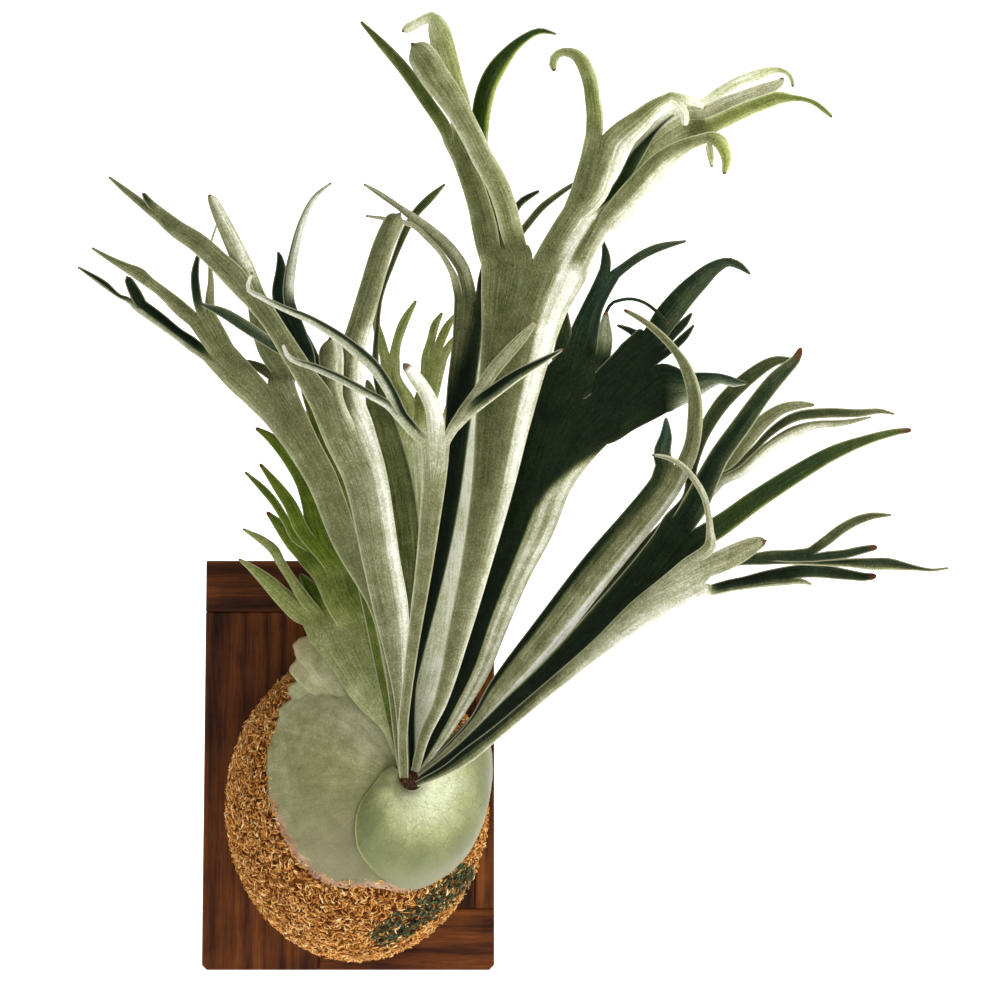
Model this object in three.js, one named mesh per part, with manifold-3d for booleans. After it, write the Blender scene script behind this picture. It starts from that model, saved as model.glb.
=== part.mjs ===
// Staghorn fern mounted on a board, for a wall. Millimetres, X to the right, Z up, Y into the wall.
// The origin is the middle of the board's back: the wall is the plane Y = 0, and the plant grows to -Y.

import * as THREE from 'three';
import Module from 'manifold-3d';

const solids = await Module();
solids.setup();

// Board
const BOARD_WIDTH = 300;
const BOARD_HEIGHT = 420;
const PLANK_THICKNESS = 22;
const BACKING_THICKNESS = 12;
const BACKING_INSET = 14;
const TOP_RAIL_HEIGHT = 53;
const BOTTOM_RAIL_HEIGHT = 62;
const LEFT_STILE_WIDTH = 120;
const RIGHT_STILE_WIDTH = 20;
const SEAM = 0.4;
const ARRIS = 1.4;
const CORNER_CLIP = 5;
const BOARD_FRONT = BACKING_THICKNESS + PLANK_THICKNESS;

// Moss ball, half an ellipsoid on the board's front
const MOUND_CENTRE = new THREE.Vector3(10, -BOARD_FRONT, -40);
const MOUND_RADII = new THREE.Vector3(133, 135, 156);
const MOUND_SPOKES = 52;
const MOUND_RINGS = 18;
const MOUND_RELIEF = 6;
const TUFTS_ROUND = 9;
const TUFTS_DOWN = 17;
const TUFTS_WANDER = 4;
const FINE_TUFTS_ROUND = 23;
const FINE_TUFTS_DOWN = 31;

// Crown, the fuzzy end of the rhizome that all fronds grow from
const CROWN_RADII = new THREE.Vector3(15, 20, 13);
const CROWN_SEEN = [411, 779, 171.8];
const CROWN_CLEARANCE = 0.3;
const CROWN_SPOKES = 24;
const CROWN_RINGS = 14;
const CROWN_SCALES = 0.5;
const SCALES_ROUND = 5;
const SCALES_DOWN = 6;
const CROWN_SEAT = 30;

// Blades
const BLADE_THICKNESS = 1.2;
const STALK_THICKNESS = 2.6;
const STALK_FADE = 70;
const SHIELD_THICKNESS = 1.6;
const ROW_STEP = 21;
const BLADE_BOW = 0.2;
const RIPPLE = 0.08;
const RIPPLE_LENGTH = 120;
const NARROW = 15;
const BROAD = 40;
const BLUNT = 5;

// The plant is traced on a front view 1000 columns wide and 1000 rows tall, seen from this eye point.
// A traced point is [column, row, out], with out its distance in mm in front of the wall.
const EYE = new THREE.Vector3(156, -1909, 141);
const EYE_PITCH = THREE.MathUtils.degToRad(4.04);
const VIEW_MIDDLE = 500;
const VIEW_FOCAL = 1800;

function sightLine(column, row) {
  const across = (column - VIEW_MIDDLE) / VIEW_FOCAL;
  const up = (VIEW_MIDDLE - row) / VIEW_FOCAL;
  const cos = Math.cos(EYE_PITCH);
  const sin = Math.sin(EYE_PITCH);
  return new THREE.Vector3(across, cos - up * sin, sin + up * cos);
}

function seen(column, row, out) {
  const line = sightLine(column, row);
  return EYE.clone().addScaledVector(line, (-out - EYE.y) / line.y);
}

// Millimetres that one column covers at a distance in front of the wall
function columnSize(out) {
  return (-out - EYE.y) / Math.cos(EYE_PITCH) / VIEW_FOCAL;
}

// A strap of a frond: its midline as [column, row, out, width in columns], and the lobes that it forks
// into at its end, from the left to the right as one looks along it.
function strap(points, ...lobes) {
  return { points, lobes };
}

const OUTER_LEFT = strap(
  [[402, 772, 166, 6], [379, 620, 194, 10], [345, 540, 208, 26], [323, 482, 216, 30],
    [303, 446, 222, 33], [283, 412, 226, 42], [271, 393, 228, 53]],
  strap(
    [[241, 378, 232, 32], [222, 357, 236, 33]],
    strap(
      [[207, 357, 234, 10], [193, 345, 233, 14], [178, 334, 230, 12], [160, 320, 226, 14],
        [142, 307, 222, 15]],
      strap([[130, 301, 219, 6], [119, 296, 217, 4], [104, 284, 214, 7], [78, 267, 206, 2]]),
      strap([[137, 296, 224, 12], [131, 285, 226, 10], [127, 277, 228, 7]]),
    ),
    strap(
      [[212, 334, 240, 27], [203, 320, 242, 29]],
      strap([[181, 309, 243, 15], [161, 291, 243, 11], [150, 283, 242, 11], [139, 274, 240, 13],
        [129, 269, 238, 10], [112, 260, 232, 6], [92, 248, 224, 2]]),
      strap([[199, 306, 250, 9], [196, 290, 256, 9], [195, 274, 262, 8], [198, 255, 268, 4]]),
      strap([[210, 300, 240, 9], [211, 283, 237, 6], [210, 262, 234, 3], [211, 243, 230, 2],
        [217, 224, 226, 2]]),
    ),
  ),
  strap(
    [[282, 378, 222, 28]],
    strap([[264, 370, 214, 10], [252, 364, 210, 7], [243, 361, 206, 3]]),
    strap([[271, 350, 222, 25], [259, 322, 220, 18], [252, 300, 216, 9], [247, 284, 213, 2]]),
  ),
);

const LEFT = strap(
  [[405, 770, 172, 6], [400, 700, 198, 11], [397, 658, 212, 22], [391, 610, 226, 34],
    [381, 560, 238, 37], [366, 480, 252, 43], [350, 436, 260, 52]],
  strap(
    [[322, 402, 272, 25], [307, 378, 280, 22], [290, 351, 288, 20], [271, 321, 294, 19],
      [256, 300, 298, 23]],
    strap(
      [[236, 279, 304, 23], [217, 260, 306, 21], [198, 243, 306, 20], [178, 230, 306, 18],
        [160, 215, 302, 15]],
      strap([[141, 203, 296, 8], [125, 190, 288, 6], [109, 177, 280, 2]]),
      strap([[151, 204, 304, 8], [143, 193, 306, 4]]),
    ),
    strap([[245, 268, 300, 18], [233, 243, 304, 17], [221, 218, 306, 14], [213, 201, 306, 10],
      [209, 195, 306, 4]]),
  ),
  strap([[335, 398, 270, 16], [332, 370, 274, 23], [331, 352, 272, 24], [330, 340, 266, 15]]),
  strap([[353, 400, 262, 22], [351, 372, 266, 23], [354, 345, 270, 23], [362, 318, 274, 23],
    [371, 287, 278, 22], [382, 250, 282, 21], [393, 224, 278, 20], [399, 215, 270, 16]]),
);

const LEFT_BACK = strap(
  [[403, 774, 161, 6], [384, 690, 171, 8], [366, 600, 184, 10], [348, 520, 192, 14],
    [326, 440, 200, 20], [316, 398, 206, 26]],
  strap(
    [[306, 362, 230, 19]],
    strap([[291, 354, 244, 11], [279, 348, 252, 11], [266, 340, 255, 11], [245, 326, 258, 12],
      [224, 313, 260, 10], [201, 304, 256, 3]]),
    strap(
      [[297, 338, 214, 22], [288, 315, 214, 22]],
      strap([[278, 294, 214, 12], [281, 272, 212, 11], [280, 258, 210, 6], [278, 252, 208, 2]]),
      strap([[289, 300, 222, 11], [289, 282, 224, 11], [294, 252, 226, 9], [302, 222, 228, 7],
        [314, 198, 230, 5], [331, 183, 230, 2]]),
    ),
  ),
  strap([[318, 366, 196, 9], [306, 340, 194, 9], [295, 317, 192, 2]]),
);

const CENTRE_BACK = strap(
  [[412, 770, 164, 6], [412, 690, 174, 9], [419, 650, 180, 12], [431, 600, 186, 14],
    [441, 552, 190, 17], [450, 498, 194, 20], [456, 440, 197, 24], [461, 390, 199, 28],
    [467, 340, 200, 29], [469, 302, 202, 30]],
  strap([[455, 280, 213, 8], [450, 268, 216, 6], [441, 253, 218, 5], [428, 239, 219, 5],
    [412, 225, 218, 5], [386, 219, 214, 4], [366, 216, 208, 2]]),
  strap([[464, 272, 203, 13], [455, 256, 202, 13], [443, 242, 200, 12], [429, 230, 198, 11],
    [415, 219, 196, 9], [400, 208, 194, 6], [380, 194, 190, 5], [364, 184, 186, 2]]),
  strap(
    [[485, 268, 198, 8], [500, 246, 198, 8]],
    strap([[510, 222, 198, 6], [519, 204, 198, 7], [528, 197, 197, 6], [539, 191, 196, 3]]),
    strap([[514, 240, 202, 7], [526, 226, 202, 7], [541, 208, 202, 7], [556, 196, 201, 6],
      [574, 184, 200, 4], [590, 176, 198, 2]]),
  ),
);

const FRONT = strap(
  [[404, 777, 184, 8], [403, 728, 208, 9], [411, 658, 245, 11], [425, 560, 290, 17],
    [432, 500, 314, 22], [435, 462, 328, 26], [435, 446, 332, 29]],
  strap(
    [[413, 430, 340, 12], [403, 418, 344, 13]],
    strap([[388, 405, 344, 8], [367, 393, 346, 8], [339, 378, 346, 8], [314, 367, 344, 7],
      [290, 358, 340, 5], [282, 343, 336, 2]]),
    strap([[392, 394, 350, 11], [376, 369, 352, 12], [358, 352, 352, 12], [336, 335, 352, 10],
      [309, 319, 350, 8], [281, 307, 348, 6], [261, 297, 344, 5], [248, 289, 340, 4],
      [252, 272, 338, 2]]),
  ),
  strap([[436, 427, 338, 17], [432, 406, 346, 15], [425, 391, 353, 14], [415, 377, 359, 13],
    [404, 364, 363, 7]]),
  strap(
    [[452, 430, 336, 10], [461, 418, 338, 14]],
    strap([[480, 390, 330, 12], [492, 372, 330, 13], [508, 353, 331, 12], [522, 338, 332, 10],
      [536, 322, 332, 3]]),
    strap([[475, 406, 346, 13], [497, 389, 348, 13], [517, 375, 346, 11], [540, 362, 342, 7],
      [563, 349, 336, 2]]),
  ),
);

const OLIVE_BACK = strap(
  [[409, 772, 160, 6], [408, 680, 168, 11], [410, 600, 174, 17], [408, 545, 180, 24],
    [400, 486, 184, 27], [387, 438, 188, 27], [379, 412, 190, 24]],
  strap([[370, 390, 192, 10], [367, 380, 192, 3]]),
  strap([[376, 370, 186, 7], [377, 330, 184, 5], [381, 297, 182, 4], [393, 262, 180, 5],
    [405, 232, 178, 7], [415, 214, 176, 8], [430, 198, 174, 8], [445, 184, 172, 2]]),
);

const TALL = strap(
  [[415, 771, 181, 7], [425, 735, 194, 10], [441, 700, 210, 13], [460, 630, 230, 22],
    [477, 560, 244, 30], [492, 490, 254, 41], [503, 420, 260, 55], [516, 350, 264, 70],
    [525, 300, 266, 90], [533, 268, 267, 109]],
  strap(
    [[503, 252, 268, 50]],
    strap(
      [[485, 230, 262, 25], [479, 205, 256, 23], [471, 180, 253, 22], [464, 160, 251, 22],
        [457, 145, 250, 23]],
      strap([[446, 130, 250, 13], [428, 103, 244, 13], [404, 69, 236, 12], [382, 44, 228, 9],
        [361, 22, 220, 3]]),
      strap([[461, 112, 254, 21], [451, 78, 257, 23], [443, 47, 258, 24], [438, 28, 256, 21],
        [432, 18, 252, 13], [421, 21, 249, 9], [410, 27, 246, 10], [403, 31, 243, 7]]),
    ),
    strap([[499, 230, 248, 8], [488, 200, 243, 10], [481, 165, 240, 14], [480, 135, 238, 17],
      [482, 108, 237, 19], [488, 85, 235, 19], [497, 68, 232, 18], [512, 49, 228, 12],
      [528, 36, 224, 8], [541, 31, 220, 6], [556, 34, 216, 2]]),
    strap([[512, 232, 282, 22], [505, 205, 292, 22], [496, 182, 296, 22], [482, 157, 299, 22],
      [474, 140, 300, 22], [459, 112, 300, 24], [447, 93, 298, 27], [437, 80, 297, 29],
      [427, 64, 294, 30], [419, 52, 290, 26], [413, 45, 288, 14]]),
  ),
  strap(
    [[574, 241, 271, 54], [586, 221, 272, 53]],
    strap(
      [[588, 193, 276, 36], [598, 168, 279, 40], [605, 145, 281, 44]],
      strap([[595, 118, 283, 17], [593, 100, 284, 16], [591, 84, 283, 16], [586, 68, 281, 16],
        [577, 56, 276, 12], [567, 52, 271, 9], [558, 54, 267, 8], [553, 61, 264, 9],
        [554, 71, 263, 5]]),
      strap(
        [[622, 136, 283, 28], [640, 121, 284, 23], [654, 108, 284, 17], [668, 99, 281, 12]],
        strap([[684, 99, 276, 9], [697, 103, 270, 7], [705, 108, 266, 3]]),
        strap([[681, 108, 274, 10], [685, 118, 270, 9], [684, 127, 267, 4]]),
      ),
    ),
    strap([[608, 197, 262, 8], [619, 184, 259, 9], [628, 171, 256, 12], [635, 158, 253, 13],
      [643, 147, 250, 10], [654, 133, 247, 5], [667, 120, 244, 3], [680, 111, 240, 2]]),
    strap(
      [[613, 202, 250, 12], [630, 173, 245, 17], [643, 151, 242, 22], [657, 138, 241, 28],
        [673, 127, 240, 33], [689, 119, 239, 38]],
      strap([[704, 102, 232, 9], [720, 92, 231, 10], [740, 81, 229, 10], [760, 74, 226, 10],
        [773, 70, 223, 7], [784, 71, 221, 4], [791, 77, 218, 4], [793, 87, 216, 3]]),
      strap([[706, 114, 240, 16], [722, 105, 239, 14], [742, 97, 237, 12], [762, 90, 234, 12],
        [778, 84, 231, 9], [783, 78, 230, 4]]),
      strap([[705, 128, 247, 17], [721, 121, 246, 16], [741, 112, 246, 16], [761, 104, 245, 15],
        [778, 98, 243, 14], [790, 98, 241, 8], [803, 99, 239, 5], [815, 103, 238, 5],
        [824, 110, 236, 5], [832, 117, 234, 3]]),
    ),
    strap(
      [[622, 207, 271, 26], [640, 186, 270, 26], [659, 165, 268, 23], [677, 151, 264, 18],
        [692, 143, 260, 13], [705, 139, 256, 12]],
      strap([[718, 140, 252, 14], [725, 150, 247, 13], [727, 162, 243, 10], [724, 174, 240, 5]]),
      strap([[709, 148, 252, 7], [711, 158, 248, 6], [712, 167, 246, 3]]),
    ),
  ),
);

const DARK = strap(
  [[418, 771, 170, 6], [440, 735, 184, 16], [456, 705, 192, 23], [474, 668, 200, 31],
    [492, 616, 208, 38], [510, 570, 214, 42], [528, 525, 219, 53], [545, 473, 223, 62],
    [570, 423, 227, 86], [586, 402, 229, 106]],
  strap(
    [[577, 372, 232, 56], [581, 357, 233, 57]],
    strap([[565, 334, 232, 13], [567, 312, 232, 2]]),
    strap(
      [[584, 334, 230, 28], [592, 309, 229, 21], [601, 290, 227, 20], [608, 276, 226, 22]],
      strap([[606, 258, 223, 9], [603, 240, 220, 2]]),
      strap([[625, 267, 222, 9], [642, 255, 220, 9], [660, 247, 217, 8], [686, 241, 212, 2]]),
    ),
    strap([[600, 336, 240, 4], [604, 318, 246, 3], [611, 304, 250, 3], [621, 300, 251, 3],
      [632, 299, 252, 3], [645, 303, 253, 3], [657, 312, 254, 3], [668, 324, 254, 2]]),
    strap([[605, 340, 246, 15], [605, 326, 249, 11], [606, 312, 250, 4]]),
  ),
  strap(
    [[648, 376, 239, 84]],
    strap(
      [[650, 345, 242, 40]],
      strap([[640, 336, 238, 8], [629, 330, 238, 6], [617, 325, 238, 2]]),
      strap([[666, 318, 246, 25], [684, 296, 246, 23], [701, 279, 244, 19], [714, 268, 240, 14],
        [728, 262, 235, 9], [740, 266, 230, 7], [750, 274, 226, 2]]),
      strap([[674, 333, 238, 9], [684, 323, 236, 8], [692, 313, 234, 2]]),
      strap([[678, 343, 250, 8], [686, 335, 250, 7], [694, 325, 250, 2]]),
    ),
    strap([[668, 388, 246, 49], [687, 387, 250, 31], [701, 383, 254, 22], [712, 380, 256, 15],
      [722, 379, 257, 10], [732, 382, 258, 10], [741, 383, 258, 5], [747, 383, 257, 3]]),
  ),
);

const RIGHT_STRAP = strap(
  [[419, 775, 182, 5], [448, 750, 196, 9], [475, 722, 210, 12], [501, 688, 222, 24],
    [547, 633, 238, 33], [598, 568, 251, 35], [639, 519, 259, 33], [664, 487, 263, 32],
    [671, 472, 265, 35]],
  strap([[662, 453, 262, 17], [666, 436, 261, 12], [666, 418, 260, 3]]),
  strap([[688, 457, 272, 16], [693, 440, 276, 15], [695, 419, 283, 15], [695, 402, 287, 14],
    [692, 385, 291, 13], [686, 368, 295, 11], [677, 353, 298, 8], [665, 339, 300, 7],
    [648, 324, 302, 6], [634, 315, 302, 5], [624, 310, 302, 3]]),
);

const RIGHT = strap(
  [[420, 778, 186, 5], [452, 756, 202, 9], [478, 733, 216, 11], [506, 708, 228, 15],
    [548, 672, 244, 21], [600, 620, 260, 28], [640, 580, 270, 35], [670, 548, 276, 43],
    [682, 533, 278, 49]],
  strap([[687, 498, 264, 10], [693, 465, 258, 10], [703, 434, 252, 13], [720, 406, 247, 15],
    [740, 385, 242, 15], [760, 369, 240, 13], [775, 361, 238, 10], [791, 359, 236, 4]]),
  strap([[695, 505, 280, 26], [706, 482, 282, 23], [720, 455, 284, 20], [745, 420, 286, 19],
    [759, 400, 286, 17], [775, 380, 285, 16], [786, 369, 284, 13], [796, 359, 282, 9],
    [801, 348, 280, 4]]),
  strap([[712, 531, 274, 22], [730, 519, 272, 21], [753, 502, 270, 20], [791, 477, 264, 18],
    [831, 454, 256, 15], [866, 440, 250, 10], [895, 432, 244, 7], [911, 430, 240, 4]]),
);

const RIGHT_BACK = strap(
  [[418, 774, 162, 6], [450, 744, 176, 8], [480, 714, 187, 9], [548, 650, 206, 14],
    [600, 597, 218, 18], [650, 548, 230, 21], [692, 504, 240, 22], [712, 479, 245, 26]],
  strap([[728, 463, 250, 12], [745, 443, 253, 14], [763, 422, 254, 14], [782, 409, 252, 11],
    [800, 405, 249, 8], [814, 405, 246, 3]]),
  strap([[735, 466, 242, 7], [752, 451, 238, 6], [772, 431, 234, 8], [795, 417, 230, 10],
    [825, 413, 226, 10], [858, 413, 222, 8], [880, 411, 219, 5], [894, 414, 216, 2]]),
  strap([[742, 471, 248, 10], [768, 448, 244, 11], [792, 433, 240, 12], [815, 425, 237, 8],
    [842, 423, 235, 6], [871, 417, 232, 2]]),
);

const LOW_RIGHT = strap(
  [[417, 784, 190, 5], [446, 770, 202, 9], [468, 755, 214, 14], [498, 731, 230, 12],
    [547, 690, 254, 13], [599, 647, 274, 17], [640, 613, 287, 27], [671, 592, 295, 34],
    [693, 577, 299, 40]],
  strap([[709, 548, 304, 12], [710, 530, 307, 7], [708, 512, 309, 6], [704, 496, 310, 6],
    [694, 479, 310, 6], [680, 464, 308, 5], [665, 457, 306, 4], [652, 455, 304, 2]]),
  strap([[724, 560, 303, 22], [742, 551, 303, 20], [755, 544, 301, 15], [765, 541, 299, 9]]),
  strap(
    [[716, 567, 298, 7], [740, 561, 294, 9], [765, 558, 290, 14]],
    strap(
      [[790, 556, 288, 12], [806, 555, 287, 14]],
      strap([[823, 543, 286, 10], [840, 530, 283, 10], [856, 521, 280, 9], [872, 516, 277, 7],
        [891, 515, 275, 2]]),
      strap([[826, 556, 286, 9], [845, 554, 284, 9], [862, 550, 283, 8], [877, 547, 282, 5]]),
    ),
    strap([[795, 562, 280, 5], [830, 563, 275, 6], [852, 563, 271, 9], [870, 564, 268, 12],
      [888, 564, 264, 12], [902, 566, 261, 9], [916, 568, 258, 5], [932, 570, 255, 3],
      [948, 568, 252, 2]]),
  ),
  strap(
    [[712, 590, 284, 11], [728, 586, 280, 12], [745, 583, 276, 13], [765, 579, 272, 16],
      [785, 576, 268, 19]],
    strap([[803, 571, 264, 13], [820, 571, 262, 13], [836, 573, 260, 12], [850, 575, 258, 10],
      [865, 577, 256, 8], [876, 576, 254, 5]]),
    strap([[800, 581, 264, 6], [811, 584, 262, 2]]),
  ),
);

const UPPER_LEFT_SHIELD = strap(
  [[399, 754, 155, 10], [394, 724, 152, 26], [379, 690, 138, 54], [363, 655, 124, 68],
    [353, 627, 118, 90]],
  strap(
    [[319, 619, 114, 34]],
    strap([[299, 612, 110, 20], [284, 598, 106, 18], [268, 582, 102, 14], [253, 569, 98, 8],
      [239, 559, 94, 2]]),
    strap([[306, 601, 112, 12], [292, 580, 108, 9], [281, 563, 104, 9], [274, 550, 100, 10],
      [262, 540, 96, 8], [252, 534, 92, 5], [243, 529, 88, 2]]),
    strap([[318, 600, 106, 16], [310, 587, 102, 13], [300, 574, 98, 3]]),
  ),
  strap(
    [[344, 600, 118, 38], [336, 575, 116, 44]],
    strap(
      [[309, 556, 110, 24]],
      strap([[293, 543, 106, 15], [281, 527, 102, 12], [267, 512, 98, 3]]),
      strap([[296, 538, 112, 10], [286, 521, 112, 8], [275, 503, 110, 8], [262, 488, 108, 7],
        [245, 472, 104, 2]]),
    ),
    strap([[302, 530, 118, 14], [291, 506, 118, 13], [278, 487, 116, 10], [260, 464, 112, 3]]),
    strap([[326, 540, 114, 34], [314, 505, 110, 24], [304, 482, 106, 17], [289, 459, 102, 13],
      [272, 439, 98, 10], [256, 428, 94, 3]]),
  ),
  strap([[374, 595, 112, 24], [362, 545, 110, 26], [349, 505, 108, 25], [337, 472, 106, 22],
    [322, 444, 102, 15], [308, 420, 98, 9], [295, 402, 94, 2]]),
);

const UPPER_BACK_SHIELD = strap(
  [[411, 772, 157, 6], [413, 748, 150, 14], [415, 717, 141, 32], [426, 680, 116, 50],
    [434, 640, 107, 58], [438, 590, 104, 62], [438, 540, 98, 76], [434, 480, 94, 92],
    [430, 440, 92, 96]],
  strap(
    [[404, 410, 92, 28], [392, 380, 94, 19], [390, 360, 94, 20]],
    strap([[380, 338, 94, 9], [376, 322, 94, 7], [381, 305, 94, 2]]),
    strap([[397, 342, 94, 9], [404, 322, 94, 9], [416, 301, 94, 3]]),
  ),
  strap(
    [[424, 410, 92, 24], [430, 385, 92, 22], [434, 360, 92, 26]],
    strap([[431, 340, 92, 8], [435, 325, 92, 8], [442, 313, 92, 3]]),
    strap([[441, 340, 94, 9], [447, 327, 94, 8], [456, 314, 94, 3]]),
    strap([[448, 348, 90, 8], [457, 335, 90, 3]]),
  ),
  strap([[462, 410, 90, 34], [474, 380, 90, 26], [484, 350, 90, 16], [490, 325, 90, 3]]),
);

// The two round shields. The margin is traced as [column, row] from beside the crown round to its
// other side. Angles in degrees, a radius and an out place the edge by the crown. The blade is lifted
// off the ball and bulges by that many mm, and a margin that leaves the ball stays the flare out.
const LEFT_SHIELD = { angles: [115, 265], radius: 13, out: 153, lift: 0, bulge: 0, flare: 108 };
LEFT_SHIELD.margin = [
  [396, 735], [384, 708], [366, 680], [346, 658], [326, 642], [304, 638], [294, 645], [297, 658],
  [290, 672], [297, 681], [288, 690], [292, 697], [281, 709], [277, 731], [269, 748], [269, 773],
  [271, 797], [277, 818], [288, 842], [300, 862], [318, 878], [340, 886], [364, 884], [384, 886],
  [404, 892], [420, 888],
];
const LOW_SHIELD = { angles: [168, 375], radius: 11, out: 162, lift: 4, bulge: 14, flare: 62 };
LOW_SHIELD.margin = [
  [391, 767], [381, 775], [372, 787], [361, 803], [356, 823], [358, 846], [371, 866], [391, 881],
  [413, 887], [441, 875], [464, 854], [478, 826], [486, 798], [489, 764], [486, 742], [474, 722],
];
const SHIELD_SEAT = 1.3;
const SHIELD_SWELL_RUN = 70;
const SHIELD_RINGS = 9;

// Mid-surface of a blade, thickened afterwards
function newSheet() {
  return { points: [], thickness: [], triangles: [] };
}

function addPoint(sheet, point, thickness) {
  sheet.points.push(point);
  sheet.thickness.push(thickness);
  return sheet.points.length - 1;
}

// Fills the band between two rows of points, which may hold different numbers of them
function fillBand(sheet, lower, upper) {
  let i = 0;
  let j = 0;
  while (i < lower.length - 1 || j < upper.length - 1) {
    const nextLower = (i + 1) / Math.max(lower.length - 1, 1);
    const nextUpper = (j + 1) / Math.max(upper.length - 1, 1);
    const takeLower = j === upper.length - 1 || (i < lower.length - 1 && nextLower <= nextUpper);
    if (takeLower) {
      sheet.triangles.push([lower[i], lower[i + 1], upper[j]]);
      i += 1;
    } else {
      sheet.triangles.push([lower[i], upper[j + 1], upper[j]]);
      j += 1;
    }
  }
}

// Closed solid of a sheet: both faces are split into triangles alike, and its border becomes a wall
function thicken(sheet) {
  const normals = sheet.points.map(() => new THREE.Vector3());
  const edgeOf = new Map();
  for (const [a, b, c] of sheet.triangles) {
    const ab = sheet.points[b].clone().sub(sheet.points[a]);
    const ac = sheet.points[c].clone().sub(sheet.points[a]);
    const normal = ab.cross(ac);
    for (const corner of [a, b, c]) normals[corner].add(normal);
    for (const edge of [[a, b], [b, c], [c, a]]) edgeOf.set(edge.join(), edge);
  }
  const count = sheet.points.length;
  const positions = new Float32Array(count * 6);
  sheet.points.forEach((point, index) => {
    const half = normals[index].normalize().multiplyScalar(sheet.thickness[index] / 2);
    point.clone().add(half).toArray(positions, index * 3);
    point.clone().sub(half).toArray(positions, (count + index) * 3);
  });
  const indices = [];
  for (const [a, b, c] of sheet.triangles) indices.push(a, b, c, count + a, count + c, count + b);
  for (const [a, b] of edgeOf.values()) {
    if (!edgeOf.has([b, a].join())) indices.push(b, a, count + a, b, count + a, count + b);
  }
  return solidFrom(positions, indices);
}

function solidFrom(positions, indices) {
  const geometry = new THREE.BufferGeometry();
  geometry.setAttribute('position', new THREE.BufferAttribute(positions, 3));
  geometry.setIndex(indices);
  return geometry;
}

// Smooth midline through the traced points, with the start direction of the strap that it grows from
function midline(nodes, startDirection) {
  const chords = nodes.slice(1).map((node, index) => node.point.distanceTo(nodes[index].point));
  const slopes = nodes.map((node, index) => {
    const before = nodes[Math.max(index - 1, 0)];
    const after = nodes[Math.min(index + 1, nodes.length - 1)];
    const run = (chords[index - 1] ?? 0) + (chords[index] ?? 0);
    const direction = after.point.clone().sub(before.point).divideScalar(run);
    return { direction, width: (after.width - before.width) / run };
  });
  if (startDirection) slopes[0].direction = startDirection;
  const length = chords.reduce((sum, chord) => sum + chord, 0);
  return { nodes, chords, slopes, length };
}

function alongMidline(line, distance) {
  let span = 0;
  let rest = distance;
  while (span < line.chords.length - 1 && rest > line.chords[span]) {
    rest -= line.chords[span];
    span += 1;
  }
  const chord = line.chords[span];
  const t = Math.min(rest / chord, 1);
  const from = line.nodes[span];
  const to = line.nodes[span + 1];
  const blend = [2 * t ** 3 - 3 * t ** 2 + 1, (t ** 3 - 2 * t ** 2 + t) * chord,
    3 * t ** 2 - 2 * t ** 3, (t ** 3 - t ** 2) * chord];
  const pace = [(6 * t ** 2 - 6 * t) / chord, 3 * t ** 2 - 4 * t + 1,
    (6 * t - 6 * t ** 2) / chord, 3 * t ** 2 - 2 * t];
  const mix = (weights) => from.point.clone().multiplyScalar(weights[0])
    .addScaledVector(line.slopes[span].direction, weights[1])
    .addScaledVector(to.point, weights[2])
    .addScaledVector(line.slopes[span + 1].direction, weights[3]);
  const width = from.width * blend[0] + line.slopes[span].width * blend[1]
    + to.width * blend[2] + line.slopes[span + 1].width * blend[3];
  return { point: mix(blend), direction: mix(pace).normalize(), width: Math.max(width, 1) };
}

function columnsFor(width) {
  if (width < NARROW) return 1;
  return width < BROAD ? 2 : 3;
}

// A row of points across a strap. The middle bows towards the eye, and the two margins ripple.
function crossRow(sheet, place, shares, bow, rooted) {
  const sight = place.point.clone().sub(EYE).normalize();
  const side = sight.cross(place.direction).normalize();
  const face = side.clone().cross(place.direction);
  const half = place.width / 2;
  const ripple = Math.sin(rooted / RIPPLE_LENGTH * 2 * Math.PI) * RIPPLE * half * bow / BLADE_BOW;
  const stalk = Math.exp(-rooted / STALK_FADE);
  const thickness = BLADE_THICKNESS + (STALK_THICKNESS - BLADE_THICKNESS) * stalk;
  return shares.map((share) => {
    const across = share * 2 - 1;
    const lift = bow * half * (1 - across ** 2) + ripple * across ** 3;
    const point = place.point.clone().addScaledVector(side, across * half).addScaledVector(face, lift);
    return addPoint(sheet, point, thickness);
  });
}

function evenShares(count) {
  return Array.from({ length: count + 1 }, (_, index) => index / count);
}

// Grows one strap and its lobes from a row of points that is already there
function growStrap(sheet, limb, root) {
  const traced = limb.points.map(([column, row, out, width]) => (
    { point: seen(column, row, out), width: width * columnSize(out) }
  ));
  const nodes = root.node ? [root.node, ...traced] : traced;
  const line = midline(nodes, root.direction);
  const bands = Math.max(Math.round(line.length / ROW_STEP), limb.lobes.length ? 1 : 2);
  const widest = Math.max(...traced.map((node) => node.width));
  const columns = evenShares(columnsFor(widest));
  let lower = root.row ?? crossRow(sheet, alongMidline(line, 0), columns, 0, 0);
  for (let band = 1; band < bands; band += 1) {
    const distance = line.length * band / bands;
    const place = alongMidline(line, distance);
    const fromFork = limb.lobes.length ? Math.min(distance, line.length - distance) : distance;
    const bow = BLADE_BOW * THREE.MathUtils.smoothstep(fromFork, 0, place.width);
    const row = crossRow(sheet, place, columns, bow, root.distance + distance);
    fillBand(sheet, lower, row);
    lower = row;
  }
  const end = alongMidline(line, line.length);
  const distance = root.distance + line.length;
  if (limb.lobes.length) {
    forkStrap(sheet, limb.lobes, lower, end, distance);
  } else {
    closeTip(sheet, lower, end, distance);
  }
}

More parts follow.
